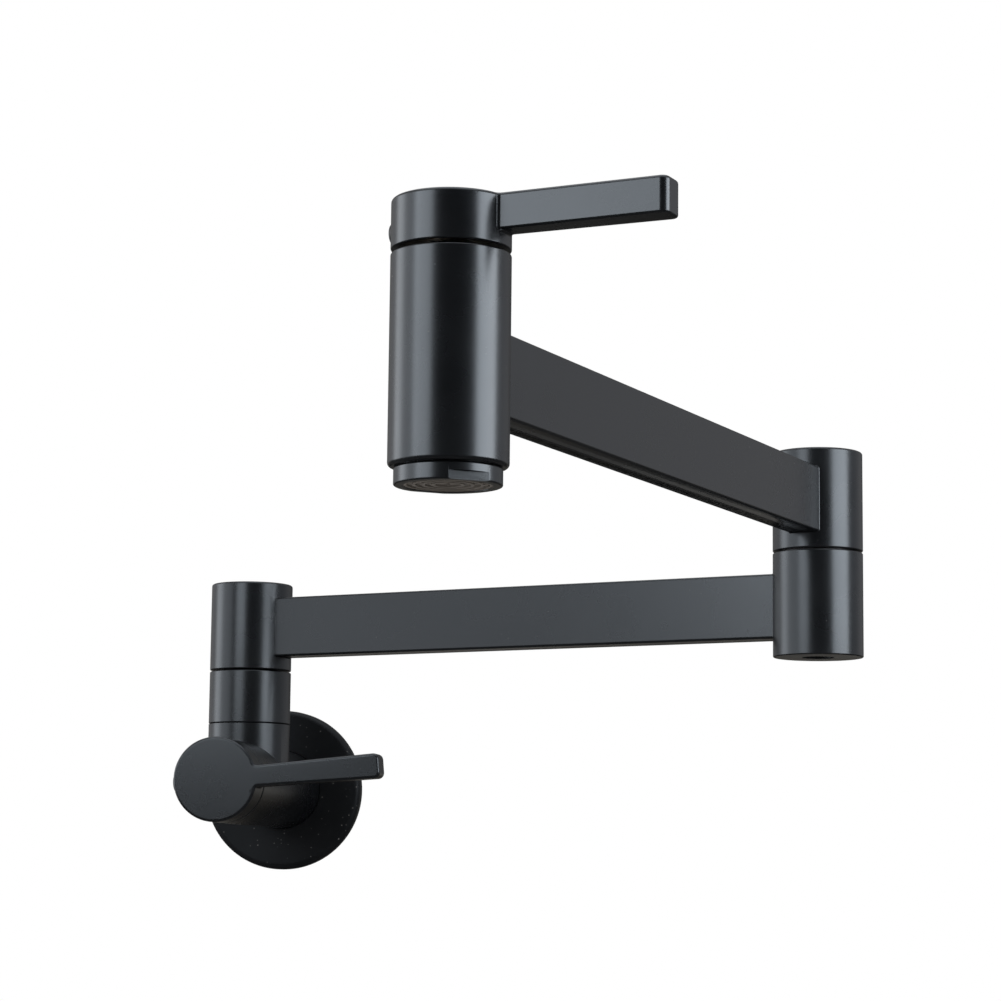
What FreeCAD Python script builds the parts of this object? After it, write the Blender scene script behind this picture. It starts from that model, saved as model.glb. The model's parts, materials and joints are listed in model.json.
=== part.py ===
import FreeCAD, Part
import math
import os

import Sketcher

# A wall-mounted folding pot filler with two flat arms, in millimetres. The wall is the plane Y = 0, +Z points
# up and the origin is the centre of the inlet on the wall. Each piece is drawn in the frame of what carries
# it. The column, elbow and spout frames keep the tap's own heights. The wall frame counts outwards from the
# wall, and the two valve frames count outwards from the valve's mouth, so depths inside a valve are negative.

SIZES = {
    # Reach and heights of the whole tap, found from the photograph
    "barrel_diameter": 28.0,
    "wall_offset": 57.8,
    "valve_reach": 91.8,
    "inner_reach": 211.6,
    "outer_reach": 257.7,
    "neck_height": 20.46,
    "collar_height": 18.38,
    "base_barrel_height": 30.22,
    "inner_arm_step": 4.66,
    "elbow_below_arm": 6.0,
    "elbow_above_arm": 6.4,
    "outer_arm_step": 4.96,
    "elbow_top_above_arm": 6.15,
    "spout_below_arm": 14.46,
    "spout_above_arm": 14.69,
    "aerator_drop": 4.25,
    # Directions in degrees, counted from +X
    "inner_arm_angle": -20.44,
    "outer_arm_angle": -107.08,
    "wall_lever_angle": 5.0,
    "spout_lever_angle": -17.0,
    "aerator_angle": -56.6,
    # Flat hollow arms, brazed to their barrels
    "arm_height": 20.3,
    "arm_thickness": 10.0,
    "arm_wall": 1.5,
    "arm_edge_radius": 0.8,
    "braze_radius": 1.2,
    # Gaps, clearances and rims
    "seam_gap": 0.5,
    "cap_gap": 1.0,
    "collar_joint_gap": 0.2,
    "running_clearance": 0.05,
    "thread_clearance": 0.03,
    "braze_gap": 0.05,
    "cut_overrun": 1.0,
    "rim_radius": 0.4,
    "top_rim_radius": 0.8,
    # Cover flange and inlet on the wall
    "flange_diameter": 57.5,
    "flange_thickness": 5.5,
    "flange_rim_radius": 2.2,
    "flange_hub_wall": 3.5,
    "flange_relief_depth": 3.0,
    "gasket_rim_land": 2.75,
    "gasket_width": 4.0,
    "gasket_thickness": 1.5,
    "flange_groove_setback": 1.6,
    "inlet_thread_diameter": 20.96,
    "inlet_tail_length": 14.0,
    "inlet_thread_pitch": 1.814,
    "inlet_thread_depth": 1.16,
    "inlet_groove_width": 1.4,
    "inlet_root_diameter": 19.0,
    "inlet_root_length": 11.0,
    "inlet_bore_diameter": 13.0,
    "inlet_washer_thickness": 1.5,
    # O-rings of the swivels, the flange and the headwork's bore
    "o_ring_section": 1.8,
    "o_ring_groove_width": 2.4,
    # Swivel at the base: spindle, flange and the collar that traps it
    "journal_diameter": 18.0,
    "base_spindle_bore_diameter": 11.0,
    "spindle_thread_diameter": 16.0,
    "spindle_flange_margin": 0.5,
    "spindle_flange_thickness": 2.0,
    "base_journal_length": 18.0,
    "base_journal_end_land": 3.5,
    "spigot_diameter": 23.0,
    "spigot_height": 10.6,
    "neck_bore_floor": 8.5,
    "spindle_flange_float": 0.28,
    "base_washer_thickness": 0.9,
    # Barrels of the column and the elbow
    "barrel_floor": 5.5,
    "barrel_bore_diameter": 21.0,
    "barrel_cap_ledge": 0.5,
    "barrel_cap_thickness": 3.0,
    # Swivel at the elbow: spindle, slip ring and the screw in the recess below
    "elbow_washer_diameter": 24.0,
    "elbow_washer_counterbore": 1.0,
    "elbow_spindle_core_diameter": 12.0,
    "elbow_spindle_bore_diameter": 9.0,
    "elbow_journal_length": 10.4,
    "elbow_foot_gap": 0.3,
    "elbow_foot_length": 5.0,
    "elbow_bore_floor_height": 6.7,
    "elbow_port_diameter": 6.4,
    "elbow_port_height": 10.7,
    "elbow_recess_diameter": 10.0,
    "elbow_recess_depth": 3.5,
    "elbow_screw_diameter": 5.0,
    "elbow_screw_depth": 5.2,
    "elbow_screw_hole_gap": 0.2,
    "elbow_screw_head_margin": 0.6,
    "elbow_screw_head_height": 2.0,
    "elbow_screw_socket": 3.0,
    "elbow_screw_socket_depth": 1.2,
    "elbow_screw_washer_margin": 0.3,
    "elbow_screw_washer_thickness": 0.5,
    # Bore of a valve, counted inwards from its mouth
    "nut_pocket_diameter": 24.0,
    "nut_pocket_depth": 7.0,
    "guide_length": 7.0,
    "chamber_diameter": 23.0,
    "seat_depth": 36.4,
    "nozzle_diameter": 16.0,
    "nozzle_height": 6.4,
    "waterway_diameter": 12.0,
    # Quarter-turn headwork with two ceramic discs
    "housing_diameter": 20.0,
    "housing_flange_margin": 0.6,
    "housing_flange_thickness": 2.5,
    "housing_neck_diameter": 15.0,
    "housing_setback": 0.8,
    "housing_window_width": 9.0,
    "housing_window_height": 6.0,
    "seal_thickness": 2.0,
    "seal_proud": 0.5,
    "seal_bore_diameter": 12.4,
    "disc_diameter": 16.6,
    "disc_thickness": 3.0,
    "disc_gap": 0.02,
    "disc_port_diameter": 4.2,
    "disc_port_offset": 3.9,
    "stem_bore_diameter": 10.0,
    "stem_foot_height": 2.08,
    "stem_shoulder_margin": 0.8,
    "stem_shoulder_thickness": 1.9,
    "stem_tongue_width": 3.0,
    "stem_tongue_length": 14.0,
    "stem_tongue_depth": 1.4,
    "stem_top_diameter": 8.0,
    "stem_top_height": 9.3,
    "stem_step_height": 0.9,
    "stem_flat_offset": 3.3,
    "stem_o_ring_section": 1.2,
    "stem_o_ring_groove_width": 1.6,
    "stem_o_ring_depth": 8.0,
    "clip_diameter": 12.0,
    "clip_thickness": 0.7,
    "clip_wrap_angle": 290.0,
    "nut_slot_width": 3.0,
    "nut_slot_depth": 1.2,
    # Handle: cap and lever in one casting, with its grub screw and plug
    "cap_height": 12.9,
    "cap_recess_diameter": 22.0,
    "cap_recess_depth": 1.2,
    "stem_end_gap": 0.3,
    "lever_length": 55.2,
    "lever_depth": 8.6,
    "lever_hub_width": 6.6,
    "lever_tip_width": 8.2,
    "lever_corner_radius": 1.8,
    "lever_root_radius": 1.0,
    "lever_edge_radius": 0.5,
    "grub_screw_diameter": 4.0,
    "grub_screw_length": 5.0,
    "grub_screw_socket": 2.0,
    "grub_screw_socket_depth": 1.6,
    "plug_drop": 6.7,
    "plug_head_diameter": 5.7,
    "plug_seat_depth": 1.0,
    "plug_proud": 1.15,
    "plug_screw_gap": 1.07,
    "plug_crown_radius": 0.6,
    # Aerator under the spout
    "spout_rim_radius": 1.0,
    "aerator_thread_diameter": 24.0,
    "aerator_thread_length": 6.0,
    "aerator_pocket_depth": 7.0,
    "aerator_ring_step": 0.55,
    "aerator_gap": 0.2,
    "aerator_neck_step": 0.6,
    "aerator_wall": 0.9,
    "aerator_lip_width": 0.9,
    "aerator_lip_thickness": 0.8,
    "aerator_flat_depth": 1.05,
    "aerator_flat_height": 2.1,
    "aerator_ring_edge_radius": 0.4,
    "aerator_washer_bore_diameter": 14.0,
    "insert_wall": 0.9,
    "insert_plate_rise": 3.2,
    "insert_plate_thickness": 1.5,
    "insert_rib_setback": 0.5,
    "insert_rib_thickness": 0.8,
    "insert_rib_spacing": 2.4,
    "insert_rib_count": 3,
    "insert_hole_diameter": 1.0,
    "insert_hole_count": 12,
}

FULL_TURN = 360.0
HEXAGON_SIDES = 6
# Two edges match when their radius and level agree within this many millimetres
MATCH_TOLERANCE = 0.001
EDGE_SAMPLES = 5

document = FreeCAD.newDocument("pot_filler")
sheet = document.addObject("Spreadsheet::Sheet", "Sizes")
parts = []


class Size:
    """A length or angle, with the sheet formula that it comes from."""

    def __init__(self, formula, value):
        self.formula = formula
        self.value = value

    def __add__(self, other):
        return Size(f"({self.formula} + {other.formula})", self.value + other.value)

    def __sub__(self, other):
        return Size(f"({self.formula} - {other.formula})", self.value - other.value)

    def __neg__(self):
        return Size(f"(-{self.formula})", -self.value)

    def __mul__(self, factor):
        if isinstance(factor, Size):
            return Size(f"({self.formula} * {factor.formula})", self.value * factor.value)
        return Size(f"({self.formula} * ({factor}))", self.value * factor)

    def __truediv__(self, divisor):
        if isinstance(divisor, Size):
            return Size(f"({self.formula} / {divisor.formula})", self.value / divisor.value)
        return Size(f"({self.formula} / {divisor})", self.value / divisor)


ZERO = Size("0", 0.0)


class Sizes:
    """The sheet's sizes, read by name."""

    def __getattr__(self, name):
        return Size(f"Sizes.{name}", SIZES[name])


size = Sizes()


class Frame:
    """Where a piece stands in the assembly: a base point and a turn."""

    def __init__(self, x, y, z, turn):
        self.formula = f"placement(vector({x.formula}; {y.formula}; {z.formula}); {turn})"


def cosine(angle):
    """The cosine of a size in degrees."""
    return Size(f"cos({angle.formula})", math.cos(math.radians(angle.value)))


def sine(angle):
    """The sine of a size in degrees."""
    return Size(f"sin({angle.formula})", math.sin(math.radians(angle.value)))


def whole(number):
    """The whole part of a ratio of sizes."""
    return Size(f"floor({number.formula})", math.floor(number.value))


def about_z(angle):
    """A turn about the vertical axis."""
    return f"rotation(vector(0; 0; 1); {angle.formula})"


# Radii that several pieces share
barrel_radius = size.barrel_diameter / 2
journal_bore_radius = size.journal_diameter / 2
journal_radius = journal_bore_radius - size.running_clearance
thread_radius = size.spindle_thread_diameter / 2
o_ring_outer_radius = journal_bore_radius - size.thread_clearance
guide_radius = size.housing_diameter / 2 + size.thread_clearance
stem_bore_radius = size.stem_bore_diameter / 2
stem_radius = stem_bore_radius - size.running_clearance
stem_groove_radius = stem_bore_radius - size.thread_clearance - size.stem_o_ring_section
stem_top_radius = size.stem_top_diameter / 2
spigot_radius = size.spigot_diameter / 2
spindle_flange_radius = spigot_radius - size.spindle_flange_margin
nut_pocket_radius = size.nut_pocket_diameter / 2
disc_radius = size.disc_diameter / 2
elbow_recess_radius = size.elbow_recess_diameter / 2
elbow_screw_hole_radius = size.elbow_screw_diameter / 2 + size.elbow_screw_hole_gap
gasket_outer_radius = size.flange_diameter / 2 - size.gasket_rim_land
gasket_inner_radius = gasket_outer_radius - size.gasket_width
aerator_thread_radius = size.aerator_thread_diameter / 2
aerator_ring_radius = aerator_thread_radius + size.aerator_ring_step
aerator_neck_radius = aerator_thread_radius - size.aerator_neck_step
aerator_bore_radius = aerator_neck_radius - size.aerator_wall

# Heights of the column, the elbow and the spout above the inlet
column_seam = size.neck_height + size.collar_height
column_top = column_seam + size.base_barrel_height
inner_arm_bottom = column_seam + size.inner_arm_step
inner_arm_top = inner_arm_bottom + size.arm_height
elbow_bottom = inner_arm_bottom - size.elbow_below_arm
elbow_seam = inner_arm_top + size.elbow_above_arm
outer_arm_bottom = elbow_seam + size.outer_arm_step
outer_arm_top = outer_arm_bottom + size.arm_height
elbow_top = outer_arm_top + size.elbow_top_above_arm
spout_bottom = outer_arm_bottom - size.spout_below_arm
spout_mouth = outer_arm_top + size.spout_above_arm
aerator_bottom = spout_bottom - size.aerator_drop
half_seam = size.seam_gap / 2
spigot_top = size.neck_height + size.spigot_height
spindle_flange_base = spigot_top + size.base_washer_thickness + size.running_clearance
spindle_flange_top = spindle_flange_base + size.spindle_flange_thickness

# Depths inside a valve, counted from its mouth
seat_level = -size.seat_depth
seal_top = seat_level + size.seal_thickness
fixed_disc_top = seal_top + size.disc_thickness
moving_disc_base = fixed_disc_top + size.disc_gap
moving_disc_top = moving_disc_base + size.disc_thickness
housing_top = -size.housing_setback
stem_foot = moving_disc_top + size.running_clearance
stem_shoulder_base = stem_foot + size.stem_foot_height
stem_shoulder_top = stem_shoulder_base + size.stem_shoulder_thickness
housing_ceiling = stem_shoulder_top + size.running_clearance
housing_flange_base = -size.nut_pocket_depth
housing_flange_top = housing_flange_base + size.housing_flange_thickness
housing_groove_middle = -(size.nut_pocket_depth + size.guide_length / 2)
clip_base = housing_top + size.running_clearance
plug_level = size.cap_height - size.plug_drop
grub_screw_tip = -(size.stem_flat_offset + size.thread_clearance)
grub_screw_end = grub_screw_tip - size.grub_screw_length

# Plan positions of the elbow and the spout
elbow_x = size.inner_reach * cosine(size.inner_arm_angle)
elbow_y = size.inner_reach * sine(size.inner_arm_angle) - size.wall_offset
spout_x = elbow_x + size.outer_reach * cosine(size.outer_arm_angle)
spout_y = elbow_y + size.outer_reach * sine(size.outer_arm_angle)

OUT_OF_WALL = "rotation(vector(1; 0; 0); 90)"
wall_frame = Frame(ZERO, ZERO, ZERO, OUT_OF_WALL)
column_frame = Frame(ZERO, -size.wall_offset, ZERO, about_z(size.inner_arm_angle))
lower_elbow_frame = Frame(elbow_x, elbow_y, ZERO, about_z(size.inner_arm_angle))
upper_elbow_frame = Frame(elbow_x, elbow_y, ZERO, about_z(size.outer_arm_angle))
spout_frame = Frame(spout_x, spout_y, ZERO, about_z(size.outer_arm_angle))
aerator_frame = Frame(spout_x, spout_y, ZERO, about_z(size.aerator_angle))
wall_valve_frame = Frame(ZERO, -size.valve_reach, ZERO, f"{OUT_OF_WALL} * {about_z(size.wall_lever_angle)}")
spout_valve_frame = Frame(spout_x, spout_y, spout_mouth, about_z(size.spout_lever_angle))


def fill_sheet():
    """Writes every driving size into the sheet under its own name."""
    for row, (name, value) in enumerate(SIZES.items(), 1):
        sheet.set(f"A{row}", name)
        sheet.set(f"B{row}", str(value))
        sheet.setAlias(f"B{row}", name)
    document.recompute()


def new_piece(label, frame):
    """Starts a piece of the tap in its frame and lists it for checking and writing."""
    body = document.addObject("PartDesign::Body", label)
    body.Label = label
    body.setExpression("Placement", frame.formula)
    parts.append(body)
    return body


def new_sketch(body, plane, lift=ZERO):
    """Adds a sketch on one of the body's own origin planes, lifted along the plane's normal."""
    sketch = body.newObject("Sketcher::SketchObject", "outline")
    support = next(item for item in body.Origin.OriginFeatures if item.Role == plane)
    sketch.AttachmentSupport = (support, [""])
    sketch.MapMode = "FlatFace"
    sketch.setExpression("AttachmentOffset.Base.z", lift.formula)
    return sketch


def hold_coordinate(sketch, kind, axis, geometry, vertex, place):
    """Ties one coordinate of a sketch point to its size, or lays the point on the axis where it is zero."""
    if place is ZERO:
        sketch.addConstraint(Sketcher.Constraint("PointOnObject", geometry, vertex, axis))
        return
    number = sketch.addConstraint(Sketcher.Constraint(kind, -1, 1, geometry, vertex, place.value))
    sketch.setExpression(f"Constraints[{number}]", place.formula)


def hold_point(sketch, geometry, vertex, x, y):
    """Ties both coordinates of a sketch point."""
    hold_coordinate(sketch, "DistanceX", -2, geometry, vertex, x)
    hold_coordinate(sketch, "DistanceY", -1, geometry, vertex, y)


def draw_polygon(sketch, corners):
    """Draws a closed outline of straight edges through the corners."""
    first = sketch.GeometryCount
    points = [FreeCAD.Vector(x.value, y.value, 0) for x, y in corners]
    for start, end in zip(points, points[1:] + points[:1]):
        sketch.addGeometry(Part.LineSegment(start, end))
    for index in range(len(corners)):
        after = first + (index + 1) % len(corners)
        sketch.addConstraint(Sketcher.Constraint("Coincident", first + index, 2, after, 1))
    for index, (x, y) in enumerate(corners):
        hold_point(sketch, first + index, 1, x, y)


def draw_circle(sketch, x, y, radius):
    """Draws a circle with its middle and radius tied to their sizes."""
    middle = FreeCAD.Vector(x.value, y.value, 0)
    number = sketch.addGeometry(Part.Circle(middle, FreeCAD.Vector(0, 0, 1), radius.value))
    hold_point(sketch, number, 3, x, y)
    rule = sketch.addConstraint(Sketcher.Constraint("Radius", number, radius.value))
    sketch.setExpression(f"Constraints[{rule}]", radius.formula)


def draw_rectangle(sketch, x, y, width, height):
    """Draws a rectangle about its middle."""
    left, right = x - width / 2, x + width / 2
    low, high = y - height / 2, y + height / 2
    draw_polygon(sketch, [(left, low), (right, low), (right, high), (left, high)])


def draw_hexagon(sketch, x, y, across_flats):
    """Draws a hexagon about its middle, with a corner on each side along the sketch's X."""
    corner_share = 1 / math.sqrt(3)
    corners = []
    for step in range(HEXAGON_SIDES):
        angle = math.radians(FULL_TURN * step / HEXAGON_SIDES)
        corner_x = x + across_flats * (corner_share * math.cos(angle))
        corner_y = y + across_flats * (corner_share * math.sin(angle))
        corners.append((corner_x, corner_y))
    draw_polygon(sketch, corners)


def solid_volume(body):
    """The body's volume so far, nothing while it is empty."""
    return 0.0 if body.Shape.isNull() else body.Shape.Volume


def settle(body, feature, volume_before, adds):
    """Recomputes and makes sure that the feature really added or cut material."""
    document.recompute()
    change = solid_volume(body) - volume_before
    if change == 0 or (change > 0) != adds:
        raise RuntimeError(f"{body.Label}: {feature.Label} changed the volume by {change:.4f}")


def revolve(body, sketch, axis, adds, angle=None):
    """Turns a drawn outline about an axis of its sketch."""
    kind = "PartDesign::Revolution" if adds else "PartDesign::Groove"
    before = solid_volume(body)
    feature = body.newObject(kind, "turning")
    feature.Profile = sketch
    feature.ReferenceAxis = (sketch, [axis])
    feature.Angle = FULL_TURN
    if angle:
        feature.setExpression("Angle", angle.formula)
    settle(body, feature, before, adds)


def turn(body, corners, adds=True, angle=None):
    """Turns an outline of (radius, level) corners about the piece's own axis."""
    sketch = new_sketch(body, "XZ_Plane")
    draw_polygon(sketch, corners)
    revolve(body, sketch, "V_Axis", adds, angle)


def turn_lying(body, plane, level, corners, adds=True):
    """Turns (run, radius) corners about a line along the sketch's X at the given level."""
    sketch = new_sketch(body, plane)
    end = max((run for run, _ in corners), key=lambda run: abs(run.value))
    start_point = FreeCAD.Vector(0, level.value, 0)
    end_point = FreeCAD.Vector(end.value, level.value, 0)
    sketch.addGeometry(Part.LineSegment(start_point, end_point), True)
    hold_point(sketch, 0, 1, ZERO, level)
    hold_point(sketch, 0, 2, end, level)
    draw_polygon(sketch, [(run, level + radius) for run, radius in corners])
    revolve(body, sketch, "Axis0", adds)


def pad(body, sketch, length, reverse=False):
    """Pads a sketch along its normal."""
    before = solid_volume(body)
    feature = body.newObject("PartDesign::Pad", "pad")
    feature.Profile = sketch
    feature.setExpression("Length", length.formula)
    feature.Reversed = reverse
    settle(body, feature, before, adds=True)


def pocket(body, sketch, length, reverse=False, both_ways=False):
    """Cuts a sketch against its normal, along it when reversed, or half the length each way."""
    before = solid_volume(body)
    feature = body.newObject("PartDesign::Pocket", "pocket")
    feature.Profile = sketch
    feature.setExpression("Length", length.formula)
    feature.Reversed = reverse
    if both_ways:
        feature.SideType = "Symmetric"
    settle(body, feature, before, adds=False)
    return feature


def ease_edges(body, radius, chosen):
    """Rounds the edges that the test picks from the piece as it stands."""
    base = body.Tip
    names = [f"Edge{number}" for number, edge in enumerate(base.Shape.Edges, 1) if chosen(edge)]
    if not names:
        raise RuntimeError(f"{body.Label}: no edge to ease")
    before = solid_volume(body)
    feature = body.newObject("PartDesign::Fillet", "easing")
    feature.Base = (base, names)
    feature.setExpression("Radius", radius.formula)
    document.recompute()
    if solid_volume(body) == before:
        raise RuntimeError(f"{body.Label}: the edges stayed as they were")


def near(value, target):
    """Whether two numbers match."""
    return abs(value - target) < MATCH_TOLERANCE


def edge_points(edge):
    """Points spread along an edge."""
    first, last = edge.FirstParameter, edge.LastParameter
    run = (last - first) / (EDGE_SAMPLES - 1)
    return [edge.valueAt(first + run * step) for step in range(EDGE_SAMPLES)]


def on_rim(radius, *levels):
    """A test for edges that run round the piece's axis at a radius and one of the levels."""

    def chosen(edge):
        points = edge_points(edge)
        return any(
            all(near(math.hypot(p.x, p.y), radius.value) and near(p.z, level.value) for p in points)
            for level in levels
        )

    return chosen


def ease_rims(body, rounding, radius, *levels):
    """Rounds the outer rims of a turned piece."""
    ease_edges(body, rounding, on_rim(radius, *levels))


def groove_corners(radius, floor, width, middles):
    """Corners of ring grooves cut into a shaft, from the lowest to the highest."""
    corners = []
    for middle in middles:
        low, high = middle - width / 2, middle + width / 2
        corners += [(radius, low), (floor, low), (floor, high), (radius, high)]
    return corners


def add_ring(label, frame, inner, outer, base, top):
    """A plain washer or sleeve."""
    body = new_piece(label, frame)
    turn(body, [(inner, base), (outer, base), (outer, top), (inner, top)])
    return body


def add_o_rings(label, frame, outer, section, middles):
    """O-rings of one size, stacked along the frame's axis."""
    body = new_piece(label, frame)
    for middle in middles:
        sketch = new_sketch(body, "XZ_Plane")
        draw_circle(sketch, outer - section / 2, middle, section / 2)
        revolve(body, sketch, "V_Axis", adds=True)


def cut_arm_window(body, arm_bottom, towards_x):
    """Opens a barrel to the bore of the arm that meets it on one side."""
    sketch = new_sketch(body, "YZ_Plane")
    width = size.arm_thickness - size.arm_wall * 2
    height = size.arm_height - size.arm_wall * 2
    draw_rectangle(sketch, ZERO, arm_bottom + size.arm_height / 2, width, height)
    pocket(body, sketch, barrel_radius + size.cut_overrun, reverse=towards_x)


def cut_valve_bore(body, mouth, nozzle):
    """Bores a valve from its mouth to the seat, and round the seat's nozzle where it has one."""
    chamber_radius = size.chamber_diameter / 2
    nozzle_radius = size.nozzle_diameter / 2
    pocket_floor = mouth - size.nut_pocket_depth
    guide_end = pocket_floor - size.guide_length
    seat = mouth - size.seat_depth
    corners = [
        (ZERO, mouth),
        (nut_pocket_radius, mouth),
        (nut_pocket_radius, pocket_floor),
        (guide_radius, pocket_floor),
        (guide_radius, guide_end),
        (chamber_radius, guide_end),
    ]
    if nozzle:
        chamber_floor = seat - size.nozzle_height
        corners += [(chamber_radius, chamber_floor), (nozzle_radius, chamber_floor), (nozzle_radius, seat)]
    else:
        corners += [(chamber_radius, seat)]
    turn(body, corners + [(ZERO, seat)], adds=False)


def add_wall_flange():
    """Cover flange: a round plate with a relief, a gasket groove and an O-ring groove in its hole."""
    hole = barrel_radius + size.running_clearance
    groove_floor = barrel_radius + size.thread_clearance + size.o_ring_section
    groove_low = size.flange_groove_setback
    groove_high = groove_low + size.o_ring_groove_width
    relief = barrel_radius + size.flange_hub_wall
    rim = size.flange_diameter / 2
    body = new_piece("wall_flange", wall_frame)
    turn(body, [
        (hole, ZERO),
        (relief, ZERO),
        (relief, size.flange_relief_depth),
        (gasket_inner_radius, size.flange_relief_depth),
        (gasket_inner_radius, size.gasket_thickness),
        (gasket_outer_radius, size.gasket_thickness),
        (gasket_outer_radius, ZERO),
        (rim, ZERO),
        (rim, size.flange_thickness),
        (hole, size.flange_thickness),
        (hole, groove_high),
        (groove_floor, groove_high),
        (groove_floor, groove_low),
        (hole, groove_low),
    ])
    ease_rims(body, size.flange_rim_radius, rim, size.flange_thickness)


def add_flange_seals():
    """Foam gasket against the wall and the O-ring that grips the valve barrel."""
    outer = gasket_outer_radius - size.thread_clearance
    add_ring("flange_gasket", wall_frame, gasket_inner_radius, outer, ZERO, size.gasket_thickness)
    middle = size.flange_groove_setback + size.o_ring_groove_width / 2
    ring_outer = barrel_radius + size.thread_clearance + size.o_ring_section
    add_o_rings("flange_o_ring", wall_frame, ring_outer, size.o_ring_section, [middle])


def add_inlet():
    """Threaded tail behind the wall plane, its root in the valve body, and the washer at its end."""
    bore = size.inlet_bore_diameter / 2
    crest = size.inlet_thread_diameter / 2
    root = size.inlet_root_diameter / 2
    tail_end = -size.inlet_tail_length
    body = new_piece("inlet_nipple", wall_frame)
    turn(body, [
        (bore, tail_end),
        (crest, tail_end),
        (crest, ZERO),
        (root, ZERO),
        (root, size.inlet_root_length),
        (bore, size.inlet_root_length),
    ])
    first = tail_end + size.inlet_thread_pitch / 2
    sketch = new_sketch(body, "XZ_Plane")
    over = crest + size.cut_overrun
    draw_polygon(sketch, [
        (over, first),
        (crest, first),
        (crest - size.inlet_thread_depth, first + size.inlet_groove_width / 2),
        (crest, first + size.inlet_groove_width),
        (over, first + size.inlet_groove_width),
    ])
    revolve(body, sketch, "V_Axis", adds=False)
    groove = body.Tip
    pattern = body.newObject("PartDesign::LinearPattern", "thread")
    pattern.Originals = [groove]
    pattern.Direction = (sketch, ["V_Axis"])
    turns = whole(size.inlet_tail_length / size.inlet_thread_pitch)
    spread = size.inlet_thread_pitch * turns - size.inlet_thread_pitch
    pattern.setExpression("Length", spread.formula)
    pattern.setExpression("Occurrences", turns.formula)
    body.Tip = pattern
    document.recompute()
    washer_top = size.inlet_root_length + size.inlet_washer_thickness
    add_ring("inlet_seal_washer", wall_frame, bore, root, size.inlet_root_length, washer_top)


def add_wall_valve_body():
    """Horizontal barrel with the vertical neck and the threaded spigot for the collar."""
    body = new_piece("wall_valve_body", wall_frame)
    mouth = size.valve_reach
    turn(body, [(ZERO, ZERO), (barrel_radius, ZERO), (barrel_radius, mouth), (ZERO, mouth)])
    ease_rims(body, size.rim_radius, barrel_radius, mouth)
    turn_lying(body, "YZ_Plane", size.wall_offset, [
        (ZERO, ZERO),
        (ZERO, barrel_radius),
        (size.neck_height, barrel_radius),
        (size.neck_height, spigot_radius),
        (spigot_top, spigot_radius),
        (spigot_top, ZERO),
    ])
    cut_valve_bore(body, mouth, nozzle=True)
    socket = size.inlet_root_diameter / 2 + size.thread_clearance
    socket_end = size.inlet_root_length + size.inlet_washer_thickness
    waterway = size.waterway_diameter / 2
    seat = mouth - size.seat_depth
    turn(body, [
        (ZERO, ZERO),
        (socket, ZERO),
        (socket, socket_end),
        (waterway, socket_end),
        (waterway, seat),
        (ZERO, seat),
    ], adds=False)
    turn_lying(body, "YZ_Plane", size.wall_offset, [
        (size.neck_bore_floor, ZERO),
        (size.neck_bore_floor, journal_bore_radius),
        (spigot_top, journal_bore_radius),
        (spigot_top, ZERO),
    ], adds=False)


def add_collar():
    """Sleeve nut on the neck's spigot, with the roof that keeps the spindle down, and the slip ring."""
    bottom = size.neck_height + size.collar_joint_gap
    top = column_seam - half_seam
    roof = spindle_flange_top + size.spindle_flange_float
    bore = spigot_radius + size.thread_clearance
    hole = journal_bore_radius
    body = new_piece("swivel_collar", column_frame)
    turn(body, [
        (bore, bottom),
        (barrel_radius, bottom),
        (barrel_radius, top),
        (hole, top),
        (hole, roof),
        (bore, roof),
    ])
    ease_rims(body, size.rim_radius, barrel_radius, bottom, top)
    washer_top = spigot_top + size.base_washer_thickness
    outer = spindle_flange_radius
    add_ring("base_thrust_washer", column_frame, journal_bore_radius, outer, spigot_top, washer_top)


def add_base_spindle():
    """Hollow spindle that turns in the neck, with its flange under the collar's roof and two O-rings."""
    bore = size.base_spindle_bore_diameter / 2
    screwed = thread_radius - size.thread_clearance
    bottom = spindle_flange_base - size.base_journal_length
    shoulder = column_seam + half_seam
    top = shoulder + size.barrel_floor
    low_ring = bottom + size.base_journal_end_land
    high_ring = spindle_flange_base - size.base_journal_end_land
    floor = o_ring_outer_radius - size.o_ring_section
    grooves = groove_corners(journal_radius, floor, size.o_ring_groove_width, [low_ring, high_ring])
    body = new_piece("base_spindle", column_frame)
    turn(body, [
        (bore, bottom),
        (journal_radius, bottom),
        *grooves,
        (journal_radius, spindle_flange_base),
        (spindle_flange_radius, spindle_flange_base),
        (spindle_flange_radius, spindle_flange_top),
        (journal_radius, spindle_flange_top),
        (journal_radius, shoulder),
        (screwed, shoulder),
        (screwed, top),
        (bore, top),
    ])
    rings = [low_ring, high_ring]
    add_o_rings("base_spindle_o_rings", column_frame, o_ring_outer_radius, size.o_ring_section, rings)


def add_capped_barrel(label, cap_label, frame, bottom, top, arm_bottom):
    """Upper barrel of a swivel: threaded floor, water room, arm window and the plug that closes its top."""
    room = size.barrel_bore_diameter / 2
    cap_radius = room + size.barrel_cap_ledge
    floor_top = bottom + size.barrel_floor
    ledge = top - size.barrel_cap_thickness
    body = new_piece(label, frame)
    turn(body, [
        (thread_radius, bottom),
        (barrel_radius, bottom),
        (barrel_radius, top),
        (cap_radius, top),
        (cap_radius, ledge),
        (room, ledge),
        (room, floor_top),
        (thread_radius, floor_top),
    ])
    ease_rims(body, size.rim_radius, barrel_radius, bottom)
    ease_rims(body, size.top_rim_radius, barrel_radius, top)
    cut_arm_window(body, arm_bottom, True)
    cap_rim = cap_radius - size.thread_clearance
    cap = new_piece(cap_label, frame)
    turn(cap, [(ZERO, ledge), (cap_rim, ledge), (cap_rim, top), (ZERO, top)])


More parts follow.
